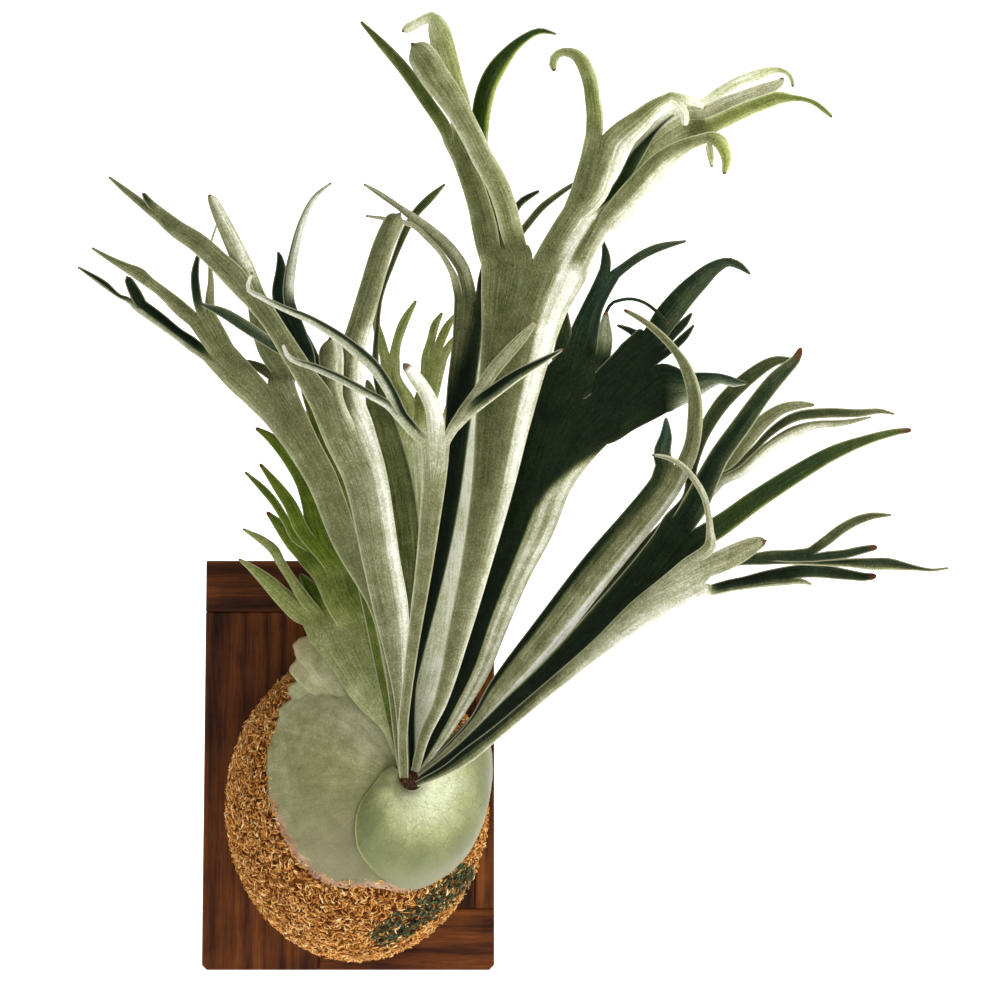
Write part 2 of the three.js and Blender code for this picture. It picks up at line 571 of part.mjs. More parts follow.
// The last row of a strap is shared out to its lobes, each as wide as its own first traced width asks
function forkStrap(sheet, lobes, lower, end, distance) {
  const widths = lobes.map((lobe) => lobe.points[0][3]);
  const total = widths.reduce((sum, width) => sum + width, 0);
  const shares = [0];
  const spans = lobes.map((lobe, index) => {
    const from = shares[shares.length - 1];
    const share = widths[index] / total;
    const count = columnsFor(share * end.width);
    const first = shares.length - 1;
    for (let step = 1; step <= count; step += 1) shares.push(from + share * step / count);
    return { first, last: shares.length - 1, middle: from + share / 2, share };
  });
  const row = crossRow(sheet, end, shares, 0, distance);
  fillBand(sheet, lower, row);
  const left = sheet.points[row[0]];
  const right = sheet.points[row[row.length - 1]];
  lobes.forEach((lobe, index) => {
    const span = spans[index];
    const point = left.clone().lerp(right, span.middle);
    growStrap(sheet, lobe, {
      row: row.slice(span.first, span.last + 1),
      node: { point, width: span.share * end.width },
      direction: end.direction,
      distance,
    });
  });
}

function closeTip(sheet, lower, end, distance) {
  let row = lower;
  if (end.width > BLUNT) {
    row = crossRow(sheet, end, evenShares(1), 0, distance);
    fillBand(sheet, lower, row);
    end.point.addScaledVector(end.direction, end.width / 4);
  }
  fillBand(sheet, row, [addPoint(sheet, end.point, BLADE_THICKNESS)]);
}

function frond(limb) {
  const sheet = newSheet();
  growStrap(sheet, limb, { distance: 0 });
  return besideCrown(thicken(sheet));
}

// Cuts a piece that grows out of the crown back to the crown's surface
function besideCrown(geometry) {
  const grown = new solids.Manifold(new solids.Mesh({
    numProp: 3,
    vertProperties: geometry.attributes.position.array,
    triVerts: Uint32Array.from(geometry.index.array),
  }));
  const room = CROWN_RADII.clone().addScalar(CROWN_CLEARANCE);
  const crown = solids.Manifold.sphere(1, 2 * CROWN_SPOKES)
    .scale(room.toArray())
    .translate(seen(...CROWN_SEEN).toArray());
  const pieces = grown.subtract(crown).decompose();
  pieces.sort((a, b) => b.volume() - a.volume());
  const { vertProperties, triVerts } = pieces[0].getMesh();
  return solidFrom(vertProperties, Array.from(triVerts));
}

// Level of a point on the moss ball's ellipsoid: 1 on its surface, more outside
function moundLevel(point) {
  return point.clone().sub(MOUND_CENTRE).divide(MOUND_RADII).length();
}

// Where the sight line of a traced point meets the moss ball, or passes it closest
function onMound(column, row) {
  const line = sightLine(column, row).divide(MOUND_RADII);
  const from = EYE.clone().sub(MOUND_CENTRE).divide(MOUND_RADII);
  const a = line.dot(line);
  const b = line.dot(from);
  const c = from.dot(from) - 1;
  const root = Math.sqrt(Math.max(b * b - a * c, 0));
  return EYE.clone().addScaledVector(sightLine(column, row), (-b - root) / a);
}

function moundNormal(point) {
  return point.clone().sub(MOUND_CENTRE).divide(MOUND_RADII).divide(MOUND_RADII).normalize();
}

// A shield frond draped over the moss ball, from the crown's side out to its traced margin
function drapedShield(shield) {
  const sheet = newSheet();
  const rows = [];
  for (let ring = 0; ring <= SHIELD_RINGS; ring += 1) {
    const reach = ring / SHIELD_RINGS;
    rows.push(shield.margin.map(([column, row], index) => {
      const start = shieldStart(shield, index / (shield.margin.length - 1));
      const onBall = onMound(column, row);
      const rim = -onBall.y < shield.flare ? seen(column, row, shield.flare) : onBall;
      const point = start.clone().lerp(rim, reach);
      const level = moundLevel(point);
      if (level < 1) point.sub(MOUND_CENTRE).divideScalar(level).add(MOUND_CENTRE);
      const swell = Math.min(start.distanceTo(rim) / SHIELD_SWELL_RUN, 1) * Math.sin(Math.PI * reach);
      const raised = SHIELD_SEAT + shield.lift * Math.min(4 * reach, 1) + shield.bulge * swell;
      point.addScaledVector(moundNormal(point), raised);
      return addPoint(sheet, point, SHIELD_THICKNESS);
    }));
  }
  for (let ring = 0; ring < SHIELD_RINGS; ring += 1) fillBand(sheet, rows[ring], rows[ring + 1]);
  return besideCrown(thicken(sheet));
}

// Point under the crown's edge where a shield starts, t running from 0 to 1 between its clock angles
function shieldStart(shield, t) {
  const [column, row] = CROWN_SEEN;
  const angle = THREE.MathUtils.degToRad(THREE.MathUtils.lerp(...shield.angles, t));
  const aside = new THREE.Vector3(Math.cos(angle), 0, Math.sin(angle)).multiplyScalar(shield.radius);
  return seen(column, row, shield.out).add(aside);
}

// Tufts of moss as a relief cut into the ball's surface: turn goes round the ball, and reach is the
// angle off its front. The rows of tufts wander, and a finer row runs over them.
function mossRelief(turn, reach) {
  const across = Math.sin(TUFTS_ROUND * turn + TUFTS_WANDER * Math.sin(6 * reach));
  const along = Math.sin(TUFTS_DOWN * reach + TUFTS_WANDER * Math.sin(5 * turn));
  const fine = Math.sin(FINE_TUFTS_ROUND * turn + FINE_TUFTS_DOWN * reach);
  return MOUND_RELIEF * (0.5 + 0.35 * across * along + 0.15 * fine);
}

// The ball is smooth where the crown is seated on it
function mossPoint(turn, reach) {
  const out = new THREE.Vector3(Math.cos(turn), 0, Math.sin(turn)).multiplyScalar(Math.sin(reach));
  out.y = -Math.cos(reach);
  const point = out.clone().multiply(MOUND_RADII).add(MOUND_CENTRE);
  const fromCrown = point.distanceTo(seen(...CROWN_SEEN));
  const clear = THREE.MathUtils.smoothstep(fromCrown, CROWN_SEAT, 2 * CROWN_SEAT);
  return point.addScaledVector(out, -clear * mossRelief(turn, reach));
}

// The ball is meshed from its flat back, whose middle comes first, to its frontmost point
function mossMound() {
  const positions = MOUND_CENTRE.toArray();
  for (let ring = 0; ring < MOUND_RINGS; ring += 1) {
    const reach = Math.PI / 2 * (1 - ring / MOUND_RINGS);
    for (let spoke = 0; spoke < MOUND_SPOKES; spoke += 1) {
      const turn = 2 * Math.PI * (spoke + ring % 2 / 2) / MOUND_SPOKES;
      const point = mossPoint(turn, reach);
      if (ring === 0) point.y = -BOARD_FRONT;
      positions.push(...point.toArray());
    }
  }
  positions.push(...mossPoint(0, 0).toArray());
  const front = positions.length / 3 - 1;
  const indices = [];
  const at = (ring, spoke) => 1 + ring * MOUND_SPOKES + spoke % MOUND_SPOKES;
  for (let spoke = 0; spoke < MOUND_SPOKES; spoke += 1) {
    indices.push(0, at(0, spoke + 1), at(0, spoke));
    for (let ring = 0; ring < MOUND_RINGS - 1; ring += 1) {
      indices.push(at(ring, spoke), at(ring, spoke + 1), at(ring + 1, spoke));
      indices.push(at(ring, spoke + 1), at(ring + 1, spoke + 1), at(ring + 1, spoke));
    }
    indices.push(at(MOUND_RINGS - 1, spoke), at(MOUND_RINGS - 1, spoke + 1), front);
  }
  return solidFrom(new Float32Array(positions), indices);
}

// The crown is a small knob with rows of scales pressed into it
function rhizomeCrown() {
  const geometry = new THREE.SphereGeometry(1, CROWN_SPOKES, CROWN_RINGS);
  const place = geometry.attributes.position;
  const centre = seen(...CROWN_SEEN);
  for (let index = 0; index < place.count; index += 1) {
    const out = new THREE.Vector3().fromBufferAttribute(place, index);
    const turn = Math.atan2(out.z, out.x);
    const rows = Math.abs(Math.sin(SCALES_ROUND * turn + SCALES_DOWN * out.y));
    const scales = CROWN_SCALES * rows * (1 - out.y ** 2);
    const point = out.clone().multiply(CROWN_RADII).addScaledVector(out, -scales).add(centre);
    place.setXYZ(index, point.x, point.y, point.z);
  }
  return geometry;
}

// A plank lies on the backing, its outline given as corner points in the board's plane
function plank(corners) {
  const outline = new THREE.Shape(corners.map(([x, z]) => new THREE.Vector2(x, z)));
  const geometry = new THREE.ExtrudeGeometry(outline, {
    depth: PLANK_THICKNESS - 2 * ARRIS,
    bevelEnabled: true,
    bevelThickness: ARRIS,
    bevelSize: ARRIS,
    bevelOffset: -ARRIS,
    bevelSegments: 1,
  });
  geometry.rotateX(Math.PI / 2);
  geometry.translate(0, -BACKING_THICKNESS - ARRIS, 0);
  return geometry;
}

const LEFT_EDGE = -BOARD_WIDTH / 2;
const RIGHT_EDGE = BOARD_WIDTH / 2;
const TOP_EDGE = BOARD_HEIGHT / 2;
const BOTTOM_EDGE = -BOARD_HEIGHT / 2;
const UNDER_TOP_RAIL = TOP_EDGE - TOP_RAIL_HEIGHT - SEAM;
const STILE_EDGE = LEFT_EDGE + LEFT_STILE_WIDTH;
const OVER_BOTTOM_RAIL = BOTTOM_EDGE + BOTTOM_RAIL_HEIGHT + SEAM;
const RIGHT_STILE_EDGE = RIGHT_EDGE - RIGHT_STILE_WIDTH;

function rectangle(left, bottom, right, top) {
  return [[left, bottom], [right, bottom], [right, top], [left, top]];
}

function backingPanel() {
  const width = BOARD_WIDTH - 2 * BACKING_INSET;
  const height = BOARD_HEIGHT - 2 * BACKING_INSET;
  const panel = new THREE.BoxGeometry(width, BACKING_THICKNESS, height);
  return panel.translate(0, -BACKING_THICKNESS / 2, 0);
}

function leftStile() {
  return plank([
    [LEFT_EDGE + CORNER_CLIP, BOTTOM_EDGE],
    [STILE_EDGE, BOTTOM_EDGE],
    [STILE_EDGE, UNDER_TOP_RAIL],
    [LEFT_EDGE, UNDER_TOP_RAIL],
    [LEFT_EDGE, BOTTOM_EDGE + CORNER_CLIP],
  ]);
}

function bottomRail() {
  return plank([
    [STILE_EDGE + SEAM, BOTTOM_EDGE],
    [RIGHT_EDGE - CORNER_CLIP, BOTTOM_EDGE],
    [RIGHT_EDGE, BOTTOM_EDGE + CORNER_CLIP],
    [RIGHT_EDGE, OVER_BOTTOM_RAIL - SEAM],
    [STILE_EDGE + SEAM, OVER_BOTTOM_RAIL - SEAM],
  ]);
}

function topRail() {
  return plank(rectangle(LEFT_EDGE, TOP_EDGE - TOP_RAIL_HEIGHT, RIGHT_EDGE, TOP_EDGE));
}

function rightStile() {
  return plank(rectangle(RIGHT_STILE_EDGE, OVER_BOTTOM_RAIL, RIGHT_EDGE, UNDER_TOP_RAIL));
}

function centrePanel() {
  const left = STILE_EDGE + SEAM;
  return plank(rectangle(left, OVER_BOTTOM_RAIL, RIGHT_STILE_EDGE - SEAM, UNDER_TOP_RAIL));
}

const WOOD = { color: 0x5b2f17, roughness: 0.55, metalness: 0 };
const PLY = { color: 0x8a6a48, roughness: 0.8, metalness: 0 };
const MOSS = { color: 0xae7d46, roughness: 1, metalness: 0 };
const SCALES = { color: 0x6b3a22, roughness: 0.95, metalness: 0 };
const PALE_SHIELD = { color: 0xa5af8c, roughness: 0.75, metalness: 0 };
const BRIGHT_SHIELD = { color: 0xb4c48e, roughness: 0.7, metalness: 0 };
const GREEN_SHIELD = { color: 0x71864a, roughness: 0.7, metalness: 0 };
const SILVER = { color: 0xa3ab92, roughness: 0.7, metalness: 0 };
const OLIVE = { color: 0x7c8360, roughness: 0.7, metalness: 0 };
const DEEP_GREEN = { color: 0x2c4a36, roughness: 0.6, metalness: 0 };

const fern = new THREE.Group();

function addPart(name, geometry, look) {
  const mesh = new THREE.Mesh(geometry, new THREE.MeshStandardMaterial(look));
  mesh.name = name;
  fern.add(mesh);
}

addPart('backing_panel', backingPanel(), PLY);
addPart('top_rail', topRail(), WOOD);
addPart('left_stile', leftStile(), WOOD);
addPart('bottom_rail', bottomRail(), WOOD);
addPart('right_stile', rightStile(), WOOD);
addPart('centre_panel', centrePanel(), WOOD);
addPart('moss_mound', mossMound(), MOSS);
addPart('rhizome_crown', rhizomeCrown(), SCALES);
addPart('shield_left', drapedShield(LEFT_SHIELD), PALE_SHIELD);
addPart('shield_low_right', drapedShield(LOW_SHIELD), BRIGHT_SHIELD);
addPart('shield_upper_left', frond(UPPER_LEFT_SHIELD), GREEN_SHIELD);
addPart('shield_upper_back', frond(UPPER_BACK_SHIELD), GREEN_SHIELD);
addPart('frond_outer_left', frond(OUTER_LEFT), SILVER);
addPart('frond_left', frond(LEFT), SILVER);
addPart('frond_left_back', frond(LEFT_BACK), DEEP_GREEN);
addPart('frond_centre_back', frond(CENTRE_BACK), OLIVE);
addPart('frond_front', frond(FRONT), SILVER);
addPart('frond_olive_back', frond(OLIVE_BACK), OLIVE);
addPart('frond_tall', frond(TALL), SILVER);
addPart('frond_dark', frond(DARK), DEEP_GREEN);
addPart('frond_right_strap', frond(RIGHT_STRAP), SILVER);
addPart('frond_right', frond(RIGHT), DEEP_GREEN);
addPart('frond_right_back', frond(RIGHT_BACK), DEEP_GREEN);
addPart('frond_low_right', frond(LOW_RIGHT), DEEP_GREEN);

export default fern;
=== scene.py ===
import math

import bpy
import numpy as np
from bpy.props import FloatProperty, FloatVectorProperty, IntProperty, PointerProperty
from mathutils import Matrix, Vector, noise


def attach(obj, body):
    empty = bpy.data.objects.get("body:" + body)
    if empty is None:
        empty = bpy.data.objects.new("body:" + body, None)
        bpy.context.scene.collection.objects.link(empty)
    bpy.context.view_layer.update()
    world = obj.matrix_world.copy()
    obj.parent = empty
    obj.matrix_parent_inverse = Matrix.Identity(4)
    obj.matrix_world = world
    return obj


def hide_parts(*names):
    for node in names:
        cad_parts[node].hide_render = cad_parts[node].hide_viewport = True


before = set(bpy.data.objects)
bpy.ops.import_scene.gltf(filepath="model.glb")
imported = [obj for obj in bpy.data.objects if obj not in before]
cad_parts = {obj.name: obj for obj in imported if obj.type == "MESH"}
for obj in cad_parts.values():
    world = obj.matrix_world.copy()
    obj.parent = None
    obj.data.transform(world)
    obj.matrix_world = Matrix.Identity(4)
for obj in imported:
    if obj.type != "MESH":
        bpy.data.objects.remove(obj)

bl_info = {
    "name": "Mounted Staghorn Fern",
    "version": (1, 0, 0),
    "blender": (4, 5, 0),
    "location": "View3D > Sidebar > Fern",
    "description": "Builds a staghorn fern on a moss ball and a stained plank board",
    "category": "Add Mesh",
}

MM = 0.001

# The plant is traced on a front view 1000 columns wide and 1000 rows tall, seen from this eye point in
# millimetres. A traced point is [column, row, out], with out its distance in front of the wall.
EYE = np.array([156.0, -1909.0, 141.0])
EYE_PITCH = math.radians(4.04)
VIEW_MIDDLE = 500
VIEW_FOCAL = 1800
VIEW_SIZE = 1000

# Moss ball, half an ellipsoid on the board's front, in millimetres. Under its strands lies a rough core,
# whose pits are noise: how fine it is per metre, and its weight.
BOARD_FRONT = 34
MOUND_CENTRE = np.array([10.0, -BOARD_FRONT, -40.0])
MOUND_RADII = np.array([133.0, 135.0, 156.0])
CORE_INSET = 3
PIT_DEPTH = 4
PITS = ((170, 0.5), (420, 0.3))

# Moss strands, in millimetres. They lie combed one way over patches of that length. Live moss grows along
# a line of columns and rows.
STRAND_LAYERS = 2
STRAND_LENGTH = (3.5, 8.5)
STRAND_RADIUS = (0.5, 1.25)
STRAND_HEIGHT = (-2.8, 1.4)
STRAND_ARCH = (0.2, 1.6)
STRAND_LEAN = (-1.6, 3.8)
STRAND_CURL = 0.11
STRAND_KNOTS = 5
STRAND_SIDES = 3
COMBED_LENGTH = 28
LIVE_MOSS = [[383, 933], [415, 918], [440, 897], [462, 874]]
LIVE_MOSS_WIDTH = 12

# Crown of the rhizome, a knob with scales, in millimetres
CROWN_SEEN = [411, 779, 171.8]
CROWN_RADII = np.array([15.0, 20.0, 13.0])
CROWN_SHRUNK = 0.62
SCALE_LENGTH = (2.0, 4.2)
SCALE_WIDTH = (0.25, 0.5)

# Blades: the middle bows, and the margins ripple over a length, by a share of half the width. The margins
# also waver. Lengths are in millimetres.
BLADE_BOW = 0.26
RIPPLE = 0.08
RIPPLE_LENGTH = 120
WAVER = 0.35
WAVER_LENGTH = 22
LEAST_WIDTH = 0.8
STALK_FADE = 70
LANE_WIDTH = 0.0045

# A tip rounds off over a share of its width and a little more, down to a least share of the width, and a
# broad one ends in a point ahead of it
TIP_SHARE = 0.6
TIP_MORE = 1
LEAST_TIP = 0.1
BROAD_TIP = 5

# Faces across a lobe that is narrower, in columns of the view, than each limit
FACES_ACROSS = ((12, 4), (24, 6), (math.inf, 8))

# Rows of points along a strap: by a fork in millimetres, at a tip as shares of its length, and the least
# distance between two
ROWS_BY_FORK = (0.5, 1.2, 2.2, 3.6)
ROWS_BY_TIP = (1, 0.7, 0.42, 0.2, 0.06)
ROW_GAP = 0.25

# Forks, in millimetres: the web between two lobes rises and fades, their inner margins grow pale between
# two distances, and a lobe takes on its own look over a length. Before a fork the columns of points move
# to their lobes over a number of widths.
WEB = 1.6
WEB_SHARE = 0.12
WEB_RISE = 2
WEB_FADE = 7
RIM_BEGINS = (4, 14)
LOOK_BLEND = 30
FORK_RUN = 1.5

DEFAULT_LOOK = {"felt": (0.5,), "end": None, "turn": (0.72, 0.72, 0.55), "hue": 0.0, "rib": (0.0, 0.0),
                "tip": 2.0, "rim": 0.4}


def strap(points, *lobes, **look):
    """A strap of a frond: its midline as [column, row, out, width in columns], the lobes that it forks into,
    from the left to the right as one looks along it, and the look of its surface.

    felt is how pale the blade is at even steps from its left to its right margin, 0 for bare dark green and 1
    for white: partly the silver hairs that cover it, partly painted highlight on a side that faces the light
    and painted shade on one that lies in shade. end is the same where the strap ends. turn is where felt
    gives way to end, as shares of the length at the left margin and at the right one, and over what share it
    does. hue runs from -1, blue-green, to 1, yellow-green; the blue-green also paints a teal sheen on some
    dark blades, and the yellow-green partly paints light shining through thin lobes. rib is the place of a
    lengthwise fold,
    -1 to 1 across, and its height as a share of half the width. tip is how many millimetres of the ends turn
    brown, and rim how pale the margins are. A lobe takes over what it isn't given from its strap, all but end
    and turn.
    """
    return {"points": points, "lobes": lobes, "look": look}


# In the looks below, the palest side of a strap is partly painted highlight, and some darker stretches partly
# painted shade.
OUTER_LEFT = strap(
    [[402, 772, 166, 6], [379, 620, 194, 10], [345, 540, 208, 26], [323, 482, 216, 30], [303, 446, 222, 33],
     [283, 412, 226, 42], [271, 393, 228, 53]],
    strap(
        [[241, 378, 232, 32], [222, 357, 236, 33]],
        strap(
            [[207, 357, 234, 10], [193, 345, 233, 14], [178, 334, 230, 12], [160, 320, 226, 14],
             [142, 307, 222, 15]],
            strap([[130, 301, 219, 6], [119, 296, 217, 4], [104, 284, 214, 7], [78, 267, 206, 2]]),
            strap([[137, 296, 224, 12], [131, 285, 226, 10], [127, 277, 228, 7]], felt=(0.05, 0.06)),
            felt=(0.85, 0.6, 0.05, 0.02, 0.04), hue=-0.2,
        ),
        strap(
            [[212, 334, 240, 27], [203, 320, 242, 29]],
            strap([[181, 309, 243, 15], [161, 291, 243, 11], [150, 283, 242, 11], [139, 274, 240, 13],
                   [129, 269, 238, 10], [112, 260, 232, 6], [92, 248, 224, 2]],
                  felt=(0.66, 0.5, 0.44, 0.48)),
            strap([[199, 306, 250, 9], [196, 290, 256, 9], [195, 274, 262, 8], [198, 255, 268, 4]],
                  felt=(0.1, 0.02, 0.05), hue=-0.2),
            strap([[210, 300, 240, 9], [211, 283, 237, 6], [210, 262, 234, 3], [211, 243, 230, 2],
                   [217, 224, 226, 2]],
                  felt=(0.5, 0.62, 0.5)),
            felt=(0.5, 0.46, 0.46),
        ),
        felt=(0.6, 0.46, 0.44, 0.46),
    ),
    strap(
        [[282, 378, 222, 28]],
        strap([[264, 370, 214, 10], [252, 364, 210, 7], [243, 361, 206, 3]], felt=(0.3, 0.35)),
        strap([[271, 350, 222, 25], [259, 322, 220, 18], [252, 300, 216, 9], [247, 284, 213, 2]],
              felt=(0.5, 0.42, 0.32)),
        felt=(0.42, 0.46, 0.46),
    ),
    felt=(0.62, 0.5, 0.46, 0.46, 0.48, 0.5), hue=0.05, rib=(0.2, 0.12),
)

LEFT = strap(
    [[405, 770, 172, 6], [400, 700, 198, 11], [397, 658, 212, 22], [391, 610, 226, 34], [381, 560, 238, 37],
     [366, 480, 252, 43], [350, 436, 260, 52]],
    strap(
        [[322, 402, 272, 25], [307, 378, 280, 22], [290, 351, 288, 20], [271, 321, 294, 19],
         [256, 300, 298, 23]],
        strap(
            [[236, 279, 304, 23], [217, 260, 306, 21], [198, 243, 306, 20], [178, 230, 306, 18],
             [160, 215, 302, 15]],
            strap([[141, 203, 296, 8], [125, 190, 288, 6], [109, 177, 280, 2]]),
            strap([[151, 204, 304, 8], [143, 193, 306, 4]], felt=(0.05, 0.06)),
            felt=(0.66, 0.46, 0.42, 0.45, 0.5),
        ),
        strap([[245, 268, 300, 18], [233, 243, 304, 17], [221, 218, 306, 14], [213, 201, 306, 10],
               [209, 195, 306, 4]],
              felt=(0.45, 0.55, 0.7, 0.84, 0.7)),
        felt=(0.58, 0.42, 0.4, 0.43, 0.46), rib=(0.2, 0.1),
    ),
    strap([[335, 398, 270, 16], [332, 370, 274, 23], [331, 352, 272, 24], [330, 340, 266, 15]],
          felt=(0.32, 0.4, 0.5, 0.76, 0.85)),
    # Painted highlight: the right half of this lobe is white.
    strap([[353, 400, 262, 22], [351, 372, 266, 23], [354, 345, 270, 23], [362, 318, 274, 23],
           [371, 287, 278, 22], [382, 250, 282, 21], [393, 224, 278, 20], [399, 215, 270, 16]],
          felt=(0.45, 0.46, 0.6, 0.9, 0.97), end=(0.46, 0.4, 0.42, 0.5, 0.66), turn=(0.2, 0.5, 0.3)),
    felt=(0.62, 0.52, 0.5, 0.54, 0.58, 0.62, 0.82, 0.92, 0.8), rib=(0.45, 0.22),
)

LEFT_BACK = strap(
    [[403, 774, 161, 6], [384, 690, 171, 8], [366, 600, 184, 10], [348, 520, 192, 14], [326, 440, 200, 20],
     [316, 398, 206, 26]],
    strap(
        [[306, 362, 230, 19]],
        strap([[291, 354, 244, 11], [279, 348, 252, 11], [266, 340, 255, 11], [245, 326, 258, 12],
               [224, 313, 260, 10], [201, 304, 256, 3]],
              felt=(0.2, 0.22, 0.3, 0.4)),
        strap(
            [[297, 338, 214, 22], [288, 315, 214, 22]],
            strap([[278, 294, 214, 12], [281, 272, 212, 11], [280, 258, 210, 6], [278, 252, 208, 2]]),
            strap([[289, 300, 222, 11], [289, 282, 224, 11], [294, 252, 226, 9], [302, 222, 228, 7],
                   [314, 198, 230, 5], [331, 183, 230, 2]],
                  felt=(0.06, 0.55, 0.85, 0.8)),
        ),
        felt=(0.1, 0.08, 0.12), hue=-0.4,
    ),
    strap([[318, 366, 196, 9], [306, 340, 194, 9], [295, 317, 192, 2]], felt=(0.1, 0.12), hue=-0.2),
    felt=(0.28, 0.32, 0.36), hue=0.7,
)

CENTRE_BACK = strap(
    [[412, 770, 164, 6], [412, 690, 174, 9], [419, 650, 180, 12], [431, 600, 186, 14], [441, 552, 190, 17],
     [450, 498, 194, 20], [456, 440, 197, 24], [461, 390, 199, 28], [467, 340, 200, 29], [469, 302, 202, 30]],
    strap([[455, 280, 213, 8], [450, 268, 216, 6], [441, 253, 218, 5], [428, 239, 219, 5],
           [412, 225, 218, 5], [386, 219, 214, 4], [366, 216, 208, 2]],
          felt=(0.8, 0.68, 0.55)),
    strap([[464, 272, 203, 13], [455, 256, 202, 13], [443, 242, 200, 12], [429, 230, 198, 11],
           [415, 219, 196, 9], [400, 208, 194, 6], [380, 194, 190, 5], [364, 184, 186, 2]],
          felt=(0.25, 0.5, 0.66, 0.7, 0.55)),
    strap(
        [[485, 268, 198, 8], [500, 246, 198, 8]],
        strap([[510, 222, 198, 6], [519, 204, 198, 7], [528, 197, 197, 6], [539, 191, 196, 3]]),
        strap([[514, 240, 202, 7], [526, 226, 202, 7], [541, 208, 202, 7], [556, 196, 201, 6],
               [574, 184, 200, 4], [590, 176, 198, 2]],
              felt=(0.5, 0.3, 0.25)),
        felt=(0.08, 0.12, 0.3),
    ),
    felt=(0.0, 0.0, 0.0, 0.0, 0.05, 0.2), end=(0.32, 0.4, 0.42, 0.36, 0.2, 0.1), turn=(0.8, 1.0, 0.16),
)

FRONT = strap(
    [[404, 777, 184, 8], [403, 728, 208, 9], [411, 658, 245, 11], [425, 560, 290, 17], [432, 500, 314, 22],
     [435, 462, 328, 26], [435, 446, 332, 29]],
    strap(
        [[413, 430, 340, 12], [403, 418, 344, 13]],
        strap([[388, 405, 344, 8], [367, 393, 346, 8], [339, 378, 346, 8], [314, 367, 344, 7],
               [290, 358, 340, 5], [282, 343, 336, 2]],
              felt=(0.86, 0.78, 0.6, 0.1, 0.0), end=(1.0, 0.95, 0.9, 0.8), turn=(0.8, 0.8, 0.3), tip=3),
        strap([[392, 394, 350, 11], [376, 369, 352, 12], [358, 352, 352, 12], [336, 335, 352, 10],
               [309, 319, 350, 8], [281, 307, 348, 6], [261, 297, 344, 5], [248, 289, 340, 4],
               [252, 272, 338, 2]],
              felt=(0.86, 0.78, 0.6, 0.1, 0.0), end=(1.0, 0.95, 0.9, 0.8), turn=(0.8, 0.8, 0.3), tip=3),
        felt=(0.86, 0.78, 0.6, 0.0, 0.0), hue=-0.3,
    ),
    strap([[436, 427, 338, 17], [432, 406, 346, 15], [425, 391, 353, 14], [415, 377, 359, 13],
           [404, 364, 363, 7]],
          felt=(0.72, 0.88, 0.96, 0.84), tip=6),
    strap(
        [[452, 430, 336, 10], [461, 418, 338, 14]],
        strap([[480, 390, 330, 12], [492, 372, 330, 13], [508, 353, 331, 12], [522, 338, 332, 10],
               [536, 322, 332, 3]],
              felt=(0.5, 0.62, 0.6, 0.5)),
        strap([[475, 406, 346, 13], [497, 389, 348, 13], [517, 375, 346, 11], [540, 362, 342, 7],
               [563, 349, 336, 2]],
              felt=(0.08, 0.0, 0.02, 0.35, 1.0), hue=-0.1),
        felt=(0.5, 0.7, 0.8),
    ),
    felt=(0.7, 0.53, 0.48, 0.47, 0.47, 0.6), end=(0.6, 0.72, 0.8, 0.84, 0.8, 0.66), turn=(0.95, 0.92, 0.16),
    rib=(0.1, 0.12),
)

OLIVE_BACK = strap(
    [[409, 772, 160, 6], [408, 680, 168, 11], [410, 600, 174, 17], [408, 545, 180, 24], [400, 486, 184, 27],
     [387, 438, 188, 27], [379, 412, 190, 24]],
    strap([[370, 390, 192, 10], [367, 380, 192, 3]]),
    strap([[376, 370, 186, 7], [377, 330, 184, 5], [381, 297, 182, 4], [393, 262, 180, 5],
           [405, 232, 178, 7], [415, 214, 176, 8], [430, 198, 174, 8], [445, 184, 172, 2]],
          felt=(0.2, 0.25)),
    felt=(0.28, 0.36, 0.36, 0.38, 0.28), hue=0.2,
)

